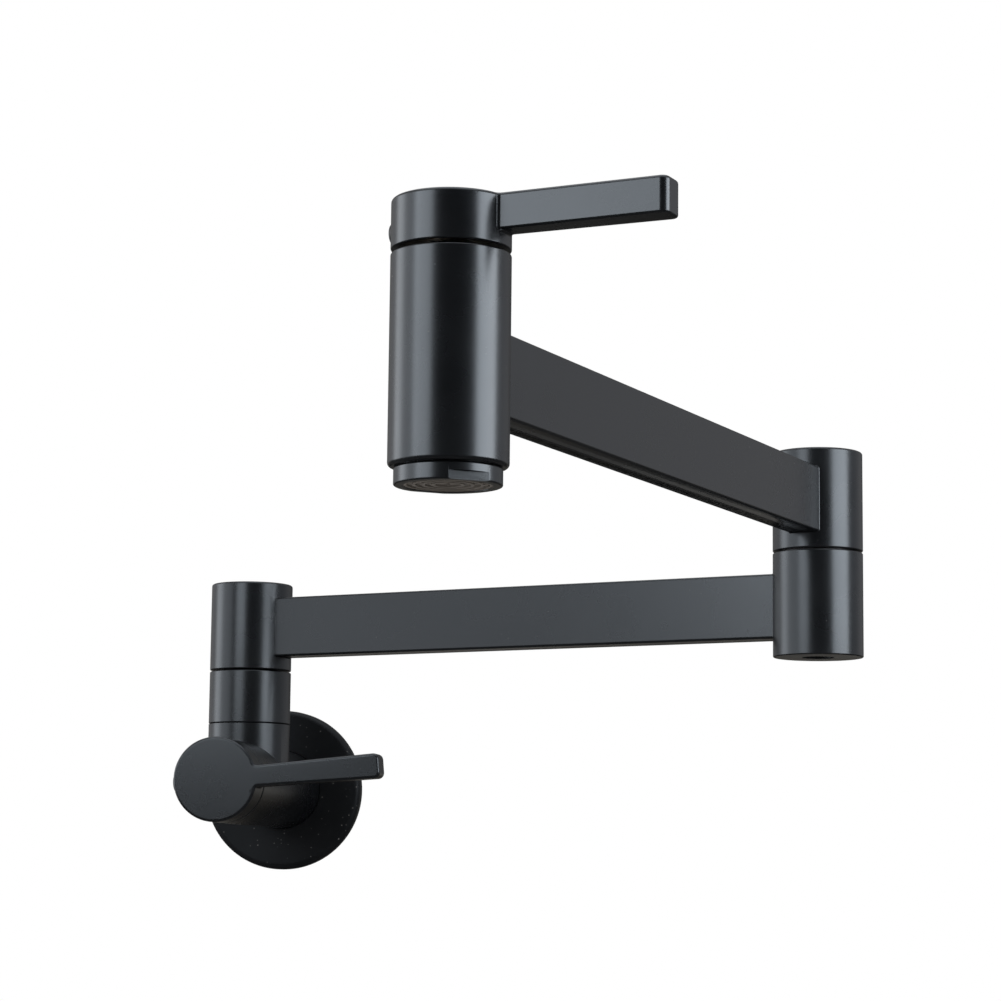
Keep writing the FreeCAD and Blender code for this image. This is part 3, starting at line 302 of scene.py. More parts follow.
def duplicate(piece: Piece, name: str) -> Piece:
    """Copies a piece, with a mesh of its own.

    Args:
        piece: The piece.
        name: The copy's name.

    Returns:
        The copy.
    """
    work_on(piece)
    bpy.ops.object.duplicate(linked=False)
    copied = bpy.context.object
    copied.name = copied.data.name = name
    return copied


def put(piece: Piece, place: Matrix) -> None:
    """Turns and moves a piece from its own mm frame to the row's frame in metres, in its mesh.

    Args:
        piece: The piece.
        place: From its frame to the row's.
    """
    work_on(piece)
    piece.matrix_world = place @ Matrix.Scale(MM, 4)
    bpy.ops.object.transform_apply(location=True, rotation=True, scale=True)


def smooth(piece: Piece) -> None:
    """Gives a piece smooth shading with crisp rims, and flat faces that stay flat.

    Args:
        piece: The piece.
    """
    work_on(piece)
    bpy.ops.object.shade_smooth_by_angle(angle=SMOOTH_ANGLE)
    apply(piece, "WEIGHTED_NORMAL", keep_sharp=True, weight=100, thresh=0.01)


# ---------------------------------------------------------------- places


def about_z(degrees: float) -> Matrix:
    """A turn about Z."""
    return Matrix.Rotation(math.radians(degrees), 4, "Z")


def upright(start: Vector, degrees: float) -> Matrix:
    """A frame on a vertical axis that keeps the tap's own heights."""
    return Matrix.Translation((start.x, start.y, 0)) @ about_z(degrees)


def outward(start: Vector, degrees: float = 0.0) -> Matrix:
    """A frame that counts outwards from the wall along -Y."""
    return Matrix.Translation(start) @ Matrix.Rotation(QUARTER_TURN, 4, "X") @ about_z(degrees)


@dataclass(frozen=True)
class Places:
    """Where the tap's axes stand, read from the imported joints, in metres."""

    column: Vector
    elbow: Vector
    spout: Vector
    wall_valve: Vector

    @classmethod
    def from_frame(cls) -> "Places":
        """Reads the joints' places."""
        joints = ("base_swivel", "elbow_swivel", "spout_valve_turn", "wall_valve_turn")
        return cls(*(AXES[name] for name in joints))

    @staticmethod
    def heading(start: Vector, end: Vector) -> float:
        """The way from one axis to the next, in degrees counted from +X."""
        run = end - start
        return math.degrees(math.atan2(run.y, run.x))


# ---------------------------------------------------------------- materials


class Net:
    """A node tree being wired, for a material, a world or a group."""

    def __init__(self, tree: bpy.types.NodeTree) -> None:
        """Starts wiring a tree."""
        self.tree = tree

    def feed(self, node: bpy.types.Node, sockets: dict[str | int, object]) -> None:
        """Sets or links a node's inputs.

        Args:
            node: The node.
            sockets: Values or output sockets for its inputs, by name or number.
        """
        for key, value in sockets.items():
            if isinstance(value, Socket):
                self.tree.links.new(value, node.inputs[key])
            else:
                node.inputs[key].default_value = value

    def add(
        self, kind: str, sockets: dict[str | int, object] | None = None, **properties: object
    ) -> bpy.types.Node:
        """Adds a node, sets its properties, and sets or links its inputs.

        Args:
            kind: The node's type.
            sockets: Values or output sockets for its inputs, by name or number.
            **properties: The node's own properties.

        Returns:
            The node.
        """
        node = self.tree.nodes.new(kind)
        for key, value in properties.items():
            setattr(node, key, value)
        self.feed(node, sockets or {})
        return node

    def math(self, operation: str, *values: object, clamp: bool = False) -> Socket:
        """The result of a Math node on numbers or sockets."""
        node = self.add("ShaderNodeMath", dict(enumerate(values)), operation=operation, use_clamp=clamp)
        return node.outputs[0]

    def spread(self, value: object, taken: Pair, given: Pair = UNIT) -> Socket:
        """A value taken from one range to another, clamped."""
        ends = dict(zip(("From Min", "From Max", "To Min", "To Max"), (*taken, *given)))
        return self.add("ShaderNodeMapRange", {"Value": value, **ends}, clamp=True).outputs["Result"]

    def tint(self, share: object, first: object, second: object) -> Socket:
        """Two colours mixed by a share. The node's colours are its inputs 6 and 7 and its output 2."""
        sockets = {0: share, 6: first, 7: second}
        return self.add("ShaderNodeMix", sockets, data_type="RGBA", clamp_factor=True).outputs[2]

    def ramp(self, share: Socket, stops: Sequence[tuple[float, Tone]]) -> Socket:
        """A colour read from a run of stops.

        Args:
            share: Where to read it, from 0 to 1.
            stops: Places with their colours, in rising order.

        Returns:
            The colour.
        """
        node = self.add("ShaderNodeValToRGB", {0: share})
        elements = node.color_ramp.elements
        elements.remove(elements[-1])
        elements[0].position, elements[0].color = stops[0]
        for place, tone in stops[1:]:
            elements.new(place).color = tone
        return node.outputs[0]


def new_group(
    name: str, inputs: dict[str, float], outputs: Sequence[str]
) -> tuple[Net, bpy.types.Node, bpy.types.Node]:
    """Starts a shader group with named sockets, the first of them its Vector.

    Args:
        name: The group's name.
        inputs: Names of the value inputs with their first values.
        outputs: Names of the value outputs.

    Returns:
        The group's net, its input node and its output node.
    """
    tree = bpy.data.node_groups.new(name, "ShaderNodeTree")
    tree.interface.new_socket("Vector", in_out="INPUT", socket_type="NodeSocketVector")
    for key, value in inputs.items():
        tree.interface.new_socket(key, in_out="INPUT", socket_type="NodeSocketFloat").default_value = value
    for key in outputs:
        tree.interface.new_socket(key, in_out="OUTPUT", socket_type="NodeSocketFloat")
    net = Net(tree)
    return net, net.add("NodeGroupInput"), net.add("NodeGroupOutput")


@dataclass(frozen=True)
class Effects:
    """The shared surface effects, each a node group that puts out values only."""

    grain: bpy.types.NodeTree
    specks: bpy.types.NodeTree
    turning: bpy.types.NodeTree

    @classmethod
    def build(cls) -> "Effects":
        """Makes the groups once."""
        return cls(cls.make_grain(), cls.make_specks(), cls.make_turning())

    @staticmethod
    def slow_tone(net: Net, place: Socket, scale: object, detail: float, roughness: float) -> Socket:
        """A slow drift between 0 and 1."""
        noise = {"Vector": place, "Scale": scale, "Detail": detail, "Roughness": roughness}
        return net.spread(net.add("ShaderNodeTexNoise", noise).outputs[0], NOISE_RANGE)

    @classmethod
    def make_grain(cls) -> bpy.types.NodeTree:
        """Fine grain of a sprayed or moulded skin, with a slow drift in its tone.

        Returns:
            The group, with Height and Tone outputs.
        """
        net, start, end = new_group("fine_grain", {"Scale": 2500.0, "Drift": 45.0}, ["Height", "Tone"])
        place, scale = start.outputs["Vector"], start.outputs["Scale"]
        peel_share, wave_share, fine_share = 0.28, 0.55, 0.45
        noise = {"Vector": place, "Scale": scale, "Detail": 2.0, "Roughness": 0.55}
        fine = net.add("ShaderNodeTexNoise", noise)
        peel = {"Vector": place, "Scale": net.math("MULTIPLY", scale, peel_share), "Smoothness": 0.8}
        waves = net.add("ShaderNodeTexVoronoi", peel, feature="SMOOTH_F1").outputs["Distance"]
        faint = net.math("MULTIPLY", fine.outputs[0], fine_share)
        tone = cls.slow_tone(net, place, start.outputs["Drift"], 4.0, 0.6)
        net.feed(end, {"Height": net.math("MULTIPLY_ADD", waves, wave_share, faint), "Tone": tone})
        return net.tree

    @classmethod
    def make_specks(cls) -> bpy.types.NodeTree:
        """Sparse dust specks of uneven size.

        Returns:
            The group, with a Mask output.
        """
        net, start, end = new_group("dust_specks", {"Scale": 400.0, "Share": 0.1, "Size": 0.1}, ["Mask"])
        least_size, least_tone = 0.35, 0.35
        place = {"Vector": start.outputs["Vector"], "Scale": start.outputs["Scale"]}
        cells = net.add("ShaderNodeTexVoronoi", place)
        chance = net.add("ShaderNodeSeparateColor", {0: cells.outputs["Color"]}).outputs
        size = net.math("MULTIPLY", start.outputs["Size"], net.math("ADD", chance[1], least_size))
        dot = net.math("LESS_THAN", cells.outputs["Distance"], size)
        kept = net.math("LESS_THAN", chance[0], start.outputs["Share"])
        faint = net.math("MULTIPLY", dot, net.spread(chance[2], UNIT, (least_tone, 1.0)))
        net.feed(end, {"Mask": net.math("MULTIPLY", faint, kept)})
        return net.tree

    @classmethod
    def make_turning(cls) -> bpy.types.NodeTree:
        """Fine rings that a lathe tool leaves round the axis Z of its vector.

        Returns:
            The group, with Height and Tone outputs.
        """
        net, start, end = new_group("turning_lines", {"Scale": 5000.0}, ["Height", "Tone"])
        place = start.outputs["Vector"]
        parts = net.add("ShaderNodeSeparateXYZ", {0: place}).outputs
        across = net.math("MULTIPLY", parts[0], parts[0])
        radius = net.math("SQRT", net.math("MULTIPLY_ADD", parts[1], parts[1], across))
        ring = net.add("ShaderNodeCombineXYZ", {0: radius, 1: parts[2], 2: 0.0}).outputs[0]
        noise = {"Vector": ring, "Scale": start.outputs["Scale"], "Detail": 1.0}
        lines = net.add("ShaderNodeTexNoise", noise).outputs[0]
        net.feed(end, {"Height": lines, "Tone": cls.slow_tone(net, place, 160.0, 5.0, 0.5)})
        return net.tree


def colour(red: float, green: float, blue: float) -> Tone:
    """An opaque linear colour."""
    return (red, green, blue, 1.0)


@dataclass(frozen=True)
class Finish:
    """What every finish shares: its name and the way it starts and ends its material."""

    name: str

    def start(self) -> tuple[Net, bpy.types.Node, Socket]:
        """Starts the material.

        Returns:
            Its net, its Principled BSDF and the Object coordinates.
        """
        material = bpy.data.materials.new(self.name)
        material.use_nodes = True
        material.node_tree.nodes.clear()
        net = Net(material.node_tree)
        shader = net.add("ShaderNodeBsdfPrincipled")
        net.add("ShaderNodeOutputMaterial", {"Surface": shader.outputs[0]})
        return net, shader, net.add("ShaderNodeTexCoord").outputs["Object"]

    def end(self, net: Net, shader: bpy.types.Node, relief: dict[str, object], **sockets: object) -> Material:
        """Feeds the shader.

        Args:
            net: The material's net.
            shader: Its Principled BSDF.
            relief: Height, Distance and Strength of its bump.
            **sockets: Its other inputs, with _ for a space.

        Returns:
            The material.
        """
        bump = net.add("ShaderNodeBump", relief)
        net.feed(shader, {key.replace("_", " "): value for key, value in sockets.items()})
        net.feed(shader, {"Normal": bump.outputs[0]})
        return bpy.data.materials[self.name]


@dataclass(frozen=True)
class BlackCoat(Finish):
    """Satin matt black spray coat with fine grain, slow drift in gloss and a few dust specks."""

    deep: Triple = (0.0030, 0.0034, 0.0042)
    pale: Triple = (0.0050, 0.0055, 0.0064)
    dust: Triple = (0.075, 0.072, 0.068)
    smooth_roughness: float = 0.25
    rough_roughness: float = 0.30
    speck_roughness: float = 0.4
    grain_scale: float = 2600.0
    grain_depth: float = 0.0000009
    drift: float = 38.0
    speck_share: float = 0.035
    speck_scale: float = 800.0
    speck_size: float = 0.13
    specular: float = 0.55
    sheen: Triple = (0.86, 0.93, 1.0)

    def make(self, effects: Effects) -> Material:
        """Builds the material.

        Args:
            effects: The shared node groups.

        Returns:
            The material.
        """
        net, shader, place = self.start()
        grained = {"Vector": place, "Scale": self.grain_scale, "Drift": self.drift}
        grain = net.add("ShaderNodeGroup", grained, node_tree=effects.grain).outputs
        speckled = {
            "Vector": place, "Scale": self.speck_scale, "Share": self.speck_share, "Size": self.speck_size
        }
        specks = net.add("ShaderNodeGroup", speckled, node_tree=effects.specks).outputs["Mask"]
        base = net.tint(grain["Tone"], colour(*self.deep), colour(*self.pale))
        gloss = net.spread(grain["Tone"], UNIT, (self.smooth_roughness, self.rough_roughness))
        return self.end(
            net, shader, {"Height": grain["Height"], "Distance": self.grain_depth, "Strength": 1.0},
            Base_Color=net.tint(specks, base, colour(*self.dust)),
            Roughness=net.math("MULTIPLY_ADD", specks, self.speck_roughness, gloss, clamp=True),
            Specular_IOR_Level=self.specular, Specular_Tint=colour(*self.sheen),
        )


@dataclass(frozen=True)
class TurnedMetal(Finish):
    """Bare metal off the lathe, with tool rings round the column's axis and a faint stain."""

    bright: Triple
    dull: Triple
    roughness: float = 0.3
    smoother: float = 0.06
    rougher: float = 0.1
    ring_scale: float = 6500.0
    ring_depth: float = 0.00002
    ring_strength: float = 0.8

    def make(self, effects: Effects) -> Material:
        """Builds the material.

        Args:
            effects: The shared node groups.

        Returns:
            The material.
        """
        net, shader, place = self.start()
        centre = {"Vector": place, "Location": -AXES["base_swivel"]}
        turned = {"Vector": net.add("ShaderNodeMapping", centre).outputs[0], "Scale": self.ring_scale}
        rings = net.add("ShaderNodeGroup", turned, node_tree=effects.turning).outputs
        gloss = (self.roughness - self.smoother, self.roughness + self.rougher)
        relief = {"Height": rings["Height"], "Distance": self.ring_depth, "Strength": self.ring_strength}
        return self.end(
            net, shader, relief, Metallic=1.0,
            Base_Color=net.tint(rings["Tone"], colour(*self.bright), colour(*self.dull)),
            Roughness=net.spread(rings["Height"], NOISE_RANGE, gloss),
        )


@dataclass(frozen=True)
class Moulded(Finish):
    """Plastic, rubber, fibre, foam or ceramic: a fine skin with an uneven tone."""

    first: Triple
    second: Triple
    roughness: float = 0.5
    grain_scale: float = 3000.0
    grain_depth: float = 0.00001
    drift: float = 120.0
    smoother: float = 0.05
    rougher: float = 0.08

    def make(self, effects: Effects) -> Material:
        """Builds the material.

        Args:
            effects: The shared node groups.

        Returns:
            The material.
        """
        net, shader, place = self.start()
        grained = {"Vector": place, "Scale": self.grain_scale, "Drift": self.drift}
        grain = net.add("ShaderNodeGroup", grained, node_tree=effects.grain).outputs
        gloss = (self.roughness - self.smoother, self.roughness + self.rougher)
        return self.end(
            net, shader, {"Height": grain["Height"], "Distance": self.grain_depth, "Strength": 1.0},
            Base_Color=net.tint(grain["Tone"], colour(*self.first), colour(*self.second)),
            Roughness=net.spread(grain["Height"], GRAIN_RANGE, gloss),
        )


# ---------------------------------------------------------------- pieces


@dataclass
class Assembly:
    """What every sub-assembly shares: its CAD body, its places, its finishes and the barrels' radius."""

    body: str
    places: Places
    finishes: dict[Slot, Material]
    barrel: float = 14.0
    rim: float = 0.4

    def dress(
        self, piece: Piece, node: str, place: Matrix, slot: Slot = Slot.PAINT, finish: Material | None = None
    ) -> None:
        """Puts a new piece in its place, in the stead of its CAD node, with its finish and its body.

        Args:
            piece: The new piece, in its own mm frame.
            node: The CAD node that it stands for.
            place: From its frame to the row's.
            slot: Its material slot.
            finish: A finish of its own, where the slot's usual one isn't meant.
        """
        put(piece, place)
        smooth(piece)
        piece.data.materials.clear()
        piece.data.materials.append(finish or self.finishes[slot])
        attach(piece, self.body)
        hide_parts(node)
        log.info("%s stands for %s on %s, %d faces", piece.name, node, self.body, len(piece.data.polygons))


@dataclass(frozen=True)
class HeadworkBore:
    """The stepped bore that takes a valve's headwork: radii, and depths below its mouth, in mm."""

    mouth: float = 12.0
    nut_depth: float = 7.0
    thread: float = 10.03
    thread_depth: float = 14.0
    chamber: float = 11.5
    seat_depth: float = 36.4
    waterway: float = 6.0

    def corners(self, level: float) -> list[Corner]:
        """The steps from the nut's seat to the top of the chamber.

        Args:
            level: Where the bore's mouth is.

        Returns:
            The corners, downwards.
        """
        nut, thread = level - self.nut_depth, level - self.thread_depth
        return [
            Corner(self.mouth, nut), Corner(self.thread, nut),
            Corner(self.thread, thread), Corner(self.chamber, thread),
        ]


@dataclass(kw_only=True)
class WallUnit(Assembly):
    """Everything that stays on the wall: cover flange, valve body with its neck, and the swivel collar."""

    flange_coat: Material
    flange_rim: float = 28.75
    flange_thickness: float = 5.5
    flange_back_rim: float = 0.25
    flange_front_rim: float = 2.2
    flange_hole_rim: float = 0.3
    relief: float = 17.5
    relief_depth: float = 3.0
    gasket_inner: float = 22.0
    gasket_outer: float = 26.0
    gasket_depth: float = 1.5
    ring_seat: float = 15.83
    ring_low: float = 1.6
    ring_high: float = 4.0
    neck_run: float = 57.8
    neck_top: float = 20.46
    spigot: float = 11.5
    spigot_top: float = 31.06
    spigot_bore: float = 9.0
    spigot_bore_low: float = 8.5
    spigot_bore_high: float = 33.0
    mouth: float = 91.8
    headwork: HeadworkBore = HeadworkBore()
    chamber_depth: float = 42.8
    seat_wall: float = 8.0
    inlet: float = 9.53
    inlet_depth: float = 12.5
    collar_bore: float = 11.53
    collar_eye: float = 9.0
    collar_low: float = 20.66
    collar_roof: float = 34.29
    collar_top: float = 38.59

    def build(self) -> None:
        """Builds and dresses the pieces."""
        wall = outward(Vector((0, 0, 0)))
        column = upright(self.places.column, self.places.heading(self.places.column, self.places.elbow))
        self.dress(self.make_flange(), "wall_flange", wall, finish=self.flange_coat)
        self.dress(self.make_body(), "wall_valve_body", wall)
        self.dress(self.make_collar(), "swivel_collar", column)

    def make_flange(self) -> Piece:
        """Round cover plate with its relief, gasket groove and O-ring groove.

        Returns:
            The plate.
        """
        hole, rim, front = self.barrel, self.flange_rim, self.flange_thickness
        return lathe("cover_flange", [
            Corner(hole, 0),
            Corner(self.relief, 0),
            Corner(self.relief, self.relief_depth),
            Corner(self.gasket_inner, self.relief_depth),
            Corner(self.gasket_inner, self.gasket_depth),
            Corner(self.gasket_outer, self.gasket_depth),
            Corner(self.gasket_outer, 0),
            Corner(rim, 0, self.flange_back_rim, Rim.HAIRLINE),
            Corner(rim, front, self.flange_front_rim, Rim.BROAD),
            Corner(hole, front, self.flange_hole_rim, Rim.NARROW),
            Corner(hole, self.ring_high),
            Corner(self.ring_seat, self.ring_high),
            Corner(self.ring_seat, self.ring_low),
            Corner(hole, self.ring_low),
        ])

    def make_sleeve(self, start: float, sign: int) -> Piece:
        """Half of the lying barrel, from one end to the saddle that the neck sits in.

        Args:
            start: Where its end is, counted from the wall.
            sign: 1 for the half by the wall, -1 for the half by the mouth.

        Returns:
            The open sleeve.
        """
        sleeve = start_edit(
            "sleeve", bpy.ops.mesh.primitive_circle_add,
            vertices=ROUND_STEPS, radius=self.barrel, fill_type="NOTHING",
        )
        bpy.ops.mesh.select_mode(type="EDGE")
        bpy.ops.transform.translate(value=(0, 0, start))
        bpy.ops.mesh.duplicate()
        bpy.ops.mesh.edge_face_add()
        pick(sleeve, Kind.EDGE, lambda edge: not edge.link_faces)
        extrude(0, 0, self.neck_run - start)
        move_vertices(sleeve, lambda co: (
            (co.x, co.y, self.neck_run - sign * max(co.y, 0.0)) if abs(co.z - self.neck_run) < TINY else co))
        bpy.ops.object.mode_set(mode="OBJECT")
        return sleeve

    def make_neck(self) -> Piece:
        """The upright neck with its spigot, open below where it sits in the saddle.

        Returns:
            The open neck.
        """
        neck = start_edit(
            "neck", bpy.ops.mesh.primitive_circle_add,
            vertices=ROUND_STEPS, radius=self.barrel, fill_type="NOTHING", rotation=(QUARTER_TURN, 0, 0),
        )
        middle = (0, self.neck_top, self.neck_run)
        bpy.ops.transform.translate(value=middle)
        extrude(0, -self.neck_top, 0)
        move_vertices(neck, lambda co: (
            (co.x, abs(co.z - self.neck_run), co.z) if abs(co.y) < TINY else co))
        pick(neck, Kind.VERTEX, lambda vertex: abs(vertex.co.y - self.neck_top) < TINY)
        extrude(0, 0, 0)
        bpy.ops.transform.resize(value=(self.spigot / self.barrel,) * 3, center_override=middle)
        extrude(0, self.spigot_top - self.neck_top, 0)
        bpy.ops.mesh.edge_face_add()
        bpy.ops.object.mode_set(mode="OBJECT")
        return neck

    def make_body(self) -> Piece:
        """Lying valve barrel and upright neck, mitred together and bored.

        Returns:
            The body.
        """
        body = self.make_sleeve(0.0, 1)
        others = [self.make_sleeve(self.mouth, -1), self.make_neck()]
        work_on(body)
        for other in others:
            other.select_set(True)
        bpy.ops.object.join()
        body.name = body.data.name = "valve_body"
        bpy.ops.object.mode_set(mode="EDIT")
        close_up()
        bpy.ops.object.mode_set(mode="EDIT")
        pick(body, Kind.EDGE, lambda edge: all(
            abs(v.co.z - self.mouth) < TINY and abs(v.co.xy.length - self.barrel) < TINY for v in edge.verts))
        bpy.ops.mesh.bevel(offset=self.rim, segments=Rim.LOW, affect="EDGES")
        bpy.ops.object.mode_set(mode="OBJECT")
        steps, top, below = self.headwork, self.mouth + OVERRUN, self.mouth - self.chamber_depth
        seat = self.mouth - steps.seat_depth
        combine(body, lathe("cutter", [
            Corner(0, top),
            Corner(steps.mouth, top),
            *steps.corners(self.mouth),
            Corner(steps.chamber, below),
            Corner(self.seat_wall, below),
            Corner(self.seat_wall, seat),
            Corner(steps.waterway, seat),
            Corner(steps.waterway, self.inlet_depth),
            Corner(self.inlet, self.inlet_depth),
            Corner(self.inlet, -OVERRUN),
            Corner(0, -OVERRUN),
        ], BORE_STEPS))
        low, high = self.spigot_bore_low, self.spigot_bore_high
        bore = lathe("cutter", [
            Corner(0, low),
            Corner(self.spigot_bore, low),
            Corner(self.spigot_bore, high),
            Corner(0, high),
        ], BORE_STEPS)
        bore.matrix_world = Matrix.Translation((0, 0, self.neck_run)) @ Matrix.Rotation(-QUARTER_TURN, 4, "X")
        combine(body, bore)
        return body

    def make_collar(self) -> Piece:
        """Sleeve nut that traps the swivel spindle.

        Returns:
            The collar.
        """
        return lathe("collar", [
            Corner(self.collar_bore, self.collar_low),
            Corner(self.barrel, self.collar_low, self.rim),
            Corner(self.barrel, self.collar_top, self.rim),
            Corner(self.collar_eye, self.collar_top),
            Corner(self.collar_eye, self.collar_roof),
            Corner(self.collar_bore, self.collar_roof),
        ])


@dataclass
class SwivelArm(Assembly):
    """What both arms have: a capped barrel to swivel on, and barrels with windows into the flat arm."""

    bottom: float = 0.0
    arm_bottom: float = 0.0
    arm_top: float = 0.0
    top: float = 0.0
    bore: float = 10.5
    cap_seat: float = 11.0
    cap_seat_rim: float = 0.12
    cap_thickness: float = 3.0
    cap_rim: float = 0.15
    cap_gap: float = 0.03
    thread: float = 8.0
    floor: float = 5.5
    top_rim: float = 0.8
    arm_wall: float = 1.5
    half_window: float = 3.5
    window_run: float = 20.0

    def build_arm(self, start: Vector, end: Vector, names: Sequence[str], nodes: Sequence[str]) -> Matrix:
        """Builds and dresses the capped barrel, its cap and the flat arm.

        Args:
            start: The barrel's axis.
            end: The axis at the arm's other end.
            names: Names of the three new pieces.
            nodes: The CAD nodes that they stand for.

        Returns:
            The arm's frame on the other axis.
        """
        turn = self.places.heading(start, end)
        place = upright(start, turn)
        arm = FlatArm(names[2], self.arm_bottom, (end - start).xy.length / MM)
        self.dress(self.capped_barrel(names[0]), nodes[0], place)
        self.dress(self.barrel_cap(names[1]), nodes[1], place)
        self.dress(arm.make(), nodes[2], place)
        return upright(end, turn)

    def capped_barrel(self, name: str) -> Piece:
        """Barrel with a threaded floor and a seat for its cap, open towards its arm along +X.

        Args:
            name: The new piece's name.

        Returns:
            The barrel.
        """
        seat, floor = self.top - self.cap_thickness, self.bottom + self.floor
        barrel = lathe(name, [
            Corner(self.thread, self.bottom),
            Corner(self.barrel, self.bottom, self.rim),
            Corner(self.barrel, self.arm_bottom),
            Corner(self.barrel, self.arm_top),
            Corner(self.barrel, self.top, self.top_rim, Rim.WIDE),
            Corner(self.cap_seat, self.top, self.cap_seat_rim, Rim.HAIRLINE),
            Corner(self.cap_seat, seat),
            Corner(self.bore, seat),
            Corner(self.bore, floor),
            Corner(self.thread, floor),
        ])
        self.open_window(barrel, 1)
        return barrel

    def barrel_cap(self, name: str) -> Piece:
        """Plug that closes a barrel's top, flush with it.

        Args:
            name: The new piece's name.

        Returns:
            The plug.
        """
        rim, low = self.cap_seat - self.cap_gap, self.top - self.cap_thickness
        return lathe(name, [
            Corner(0, low),
            Corner(rim, low),
            Corner(rim, self.top, self.cap_rim, Rim.HAIRLINE),
            Corner(0, self.top),
        ])

    def open_window(self, barrel: Piece, side: int) -> None:
        """Cuts the hole from a barrel into its arm.

        Args:
            barrel: The barrel.
            side: 1 where the arm leaves towards +X, -1 towards -X.
        """
        near, far = sorted((0.0, side * self.window_run))
        low, high = self.arm_bottom + self.arm_wall, self.arm_top - self.arm_wall
        combine(barrel, block((near, -self.half_window, low), (far, self.half_window, high)))


@dataclass
class FlatArm:
    """A flat hollow arm between two round barrels, with a brazed fillet at each end, in mm."""

    name: str
    bottom: float
    reach: float
    height: float = 20.3
    thickness: float = 10.0
    wall: float = 1.5
    edge: float = 0.8
    edge_steps: int = 5
    fillet: float = 0.35
    fillet_steps: int = 4
    sunk: float = 0.05
    barrel: float = 14.0
    width_cuts: int = 7

    def make(self) -> Piece:
        """Draws the section, extrudes it ring by ring and lays each ring in its place.

        Returns:
            The arm, along +X from the first barrel's axis.
        """
        arm = start_edit(self.name, bpy.ops.mesh.primitive_plane_add, size=2, rotation=(0, QUARTER_TURN, 0))
        bpy.ops.transform.resize(value=(1, self.thickness / 2, self.height / 2), center_override=(0, 0, 0))
        bpy.ops.mesh.bevel(offset=self.edge, segments=self.edge_steps, affect="VERTICES")
        pick(arm, Kind.EDGE, lambda edge: abs((edge.verts[0].co - edge.verts[1].co).y) > self.thickness / 2)
        bpy.ops.mesh.subdivide(number_cuts=self.width_cuts)
        bpy.ops.mesh.select_all(action="SELECT")
        bpy.ops.mesh.delete(type="ONLY_FACE")
        rings = 2 * (self.fillet_steps + 1)
        for _ in range(rings + 1):
            pick_level(arm, ALONG_X, max(vertex.co.x for vertex in bmesh.from_edit_mesh(arm.data).verts))
            extrude(1, 0, 0)
        pick(arm, Kind.EDGE, lambda edge: len(edge.link_faces) == 1)
        bpy.ops.mesh.bridge_edge_loops()
        move_vertices(arm, lambda co: self.ring_point(round(co.x), co.y, co.z, rings))
        close_up()
        return arm

    def ring_point(self, ring: int, y: float, z: float, rings: int) -> Triple:
        """Where a point of a ring belongs: fillets, straight run, then the two ends of the bore.

        Args:
            ring: The ring's number.
            y: Across the arm.
            z: Above its middle.
            rings: How many rings its outside has.

        Returns:
            The point, in the arm's own frame.
        """
        if ring < rings:
            mirrored = ring > self.fillet_steps
            step = rings - 1 - ring if mirrored else ring
            x, y, z = self.fillet_point(y, z, 1 - step / self.fillet_steps)
        else:
            mirrored = ring == rings
            half_width, half_height = self.thickness / 2 - self.wall, self.height / 2 - self.wall
            y, z = max(-half_width, min(half_width, y)), max(-half_height, min(half_height, z))
            x = math.sqrt(self.barrel ** 2 - y ** 2)
        return self.reach - x if mirrored else x, y, self.bottom + self.height / 2 + z

    def fillet_point(self, y: float, z: float, share: float) -> Triple:
        """Where a ball that rolls in the corner between arm and barrel touches the fillet.

        Args:
            y: Across the arm.
            z: Above its middle.
            share: 0 on the arm's flat, 1 on the barrel.

        Returns:
            The point, from the barrel's axis.
        """
        inner_y, inner_z = self.thickness / 2 - self.edge, self.height / 2 - self.edge
        past = Vector((0.0, y - max(-inner_y, min(inner_y, y)), z - max(-inner_z, min(inner_z, z))))
        out = past.normalized() if past.length > TINY else Vector((0.0, math.copysign(1.0, y), 0.0))
        ball = Vector((0.0, y, z)) + out * self.fillet
        ball.x = math.sqrt((self.barrel + self.fillet) ** 2 - ball.y ** 2)
        to_barrel = -Vector((ball.x, ball.y, 0.0)).normalized()
        point = ball + (-out).slerp(to_barrel, share) * self.fillet
        if share == 1:
            point += to_barrel * self.sunk
        return tuple(point)


@dataclass
class InnerArm(SwivelArm):
    """The arm that turns about the column, with the lower half of the elbow."""

    bottom: float = 39.09
    arm_bottom: float = 43.5
    arm_top: float = 63.8
    top: float = 69.06
    elbow_bottom: float = 37.5
    elbow_top: float = 69.95
    recess: float = 5.0
    recess_rim: float = 0.25
    recess_depth: float = 3.5
    screw_hole: float = 2.7
    journal: float = 9.0
    washer_seat: float = 12.0
    washer_depth: float = 1.0

    def build(self) -> None:
        """Builds and dresses the pieces."""
        names = ("column_barrel", "column_cap", "inner_arm")
        nodes = ("base_barrel", "base_barrel_cap", "inner_arm_tube")
        elbow = self.build_arm(self.places.column, self.places.elbow, names, nodes)
        self.dress(self.make_lower_elbow(), "elbow_lower_barrel", elbow)

    def make_lower_elbow(self) -> Piece:
        """Lower elbow barrel with the journal bore, the slip ring's counterbore and the screw's recess.

        Returns:
            The barrel.
        """
        low, roof = self.elbow_bottom, self.elbow_bottom + self.recess_depth
        floor, washer = low + self.floor, self.elbow_top - self.washer_depth
        barrel = lathe("lower_elbow", [
            Corner(self.recess, low, self.recess_rim, Rim.NARROW),
            Corner(self.barrel, low, self.rim),
            Corner(self.barrel, self.arm_bottom),
            Corner(self.barrel, self.arm_top),
            Corner(self.barrel, self.elbow_top, self.rim),
            Corner(self.washer_seat, self.elbow_top),
            Corner(self.washer_seat, washer),
            Corner(self.journal, washer),
            Corner(self.journal, floor),
            Corner(self.screw_hole, floor),
            Corner(self.screw_hole, roof),
            Corner(self.recess, roof),
        ])
        self.open_window(barrel, -1)
        return barrel


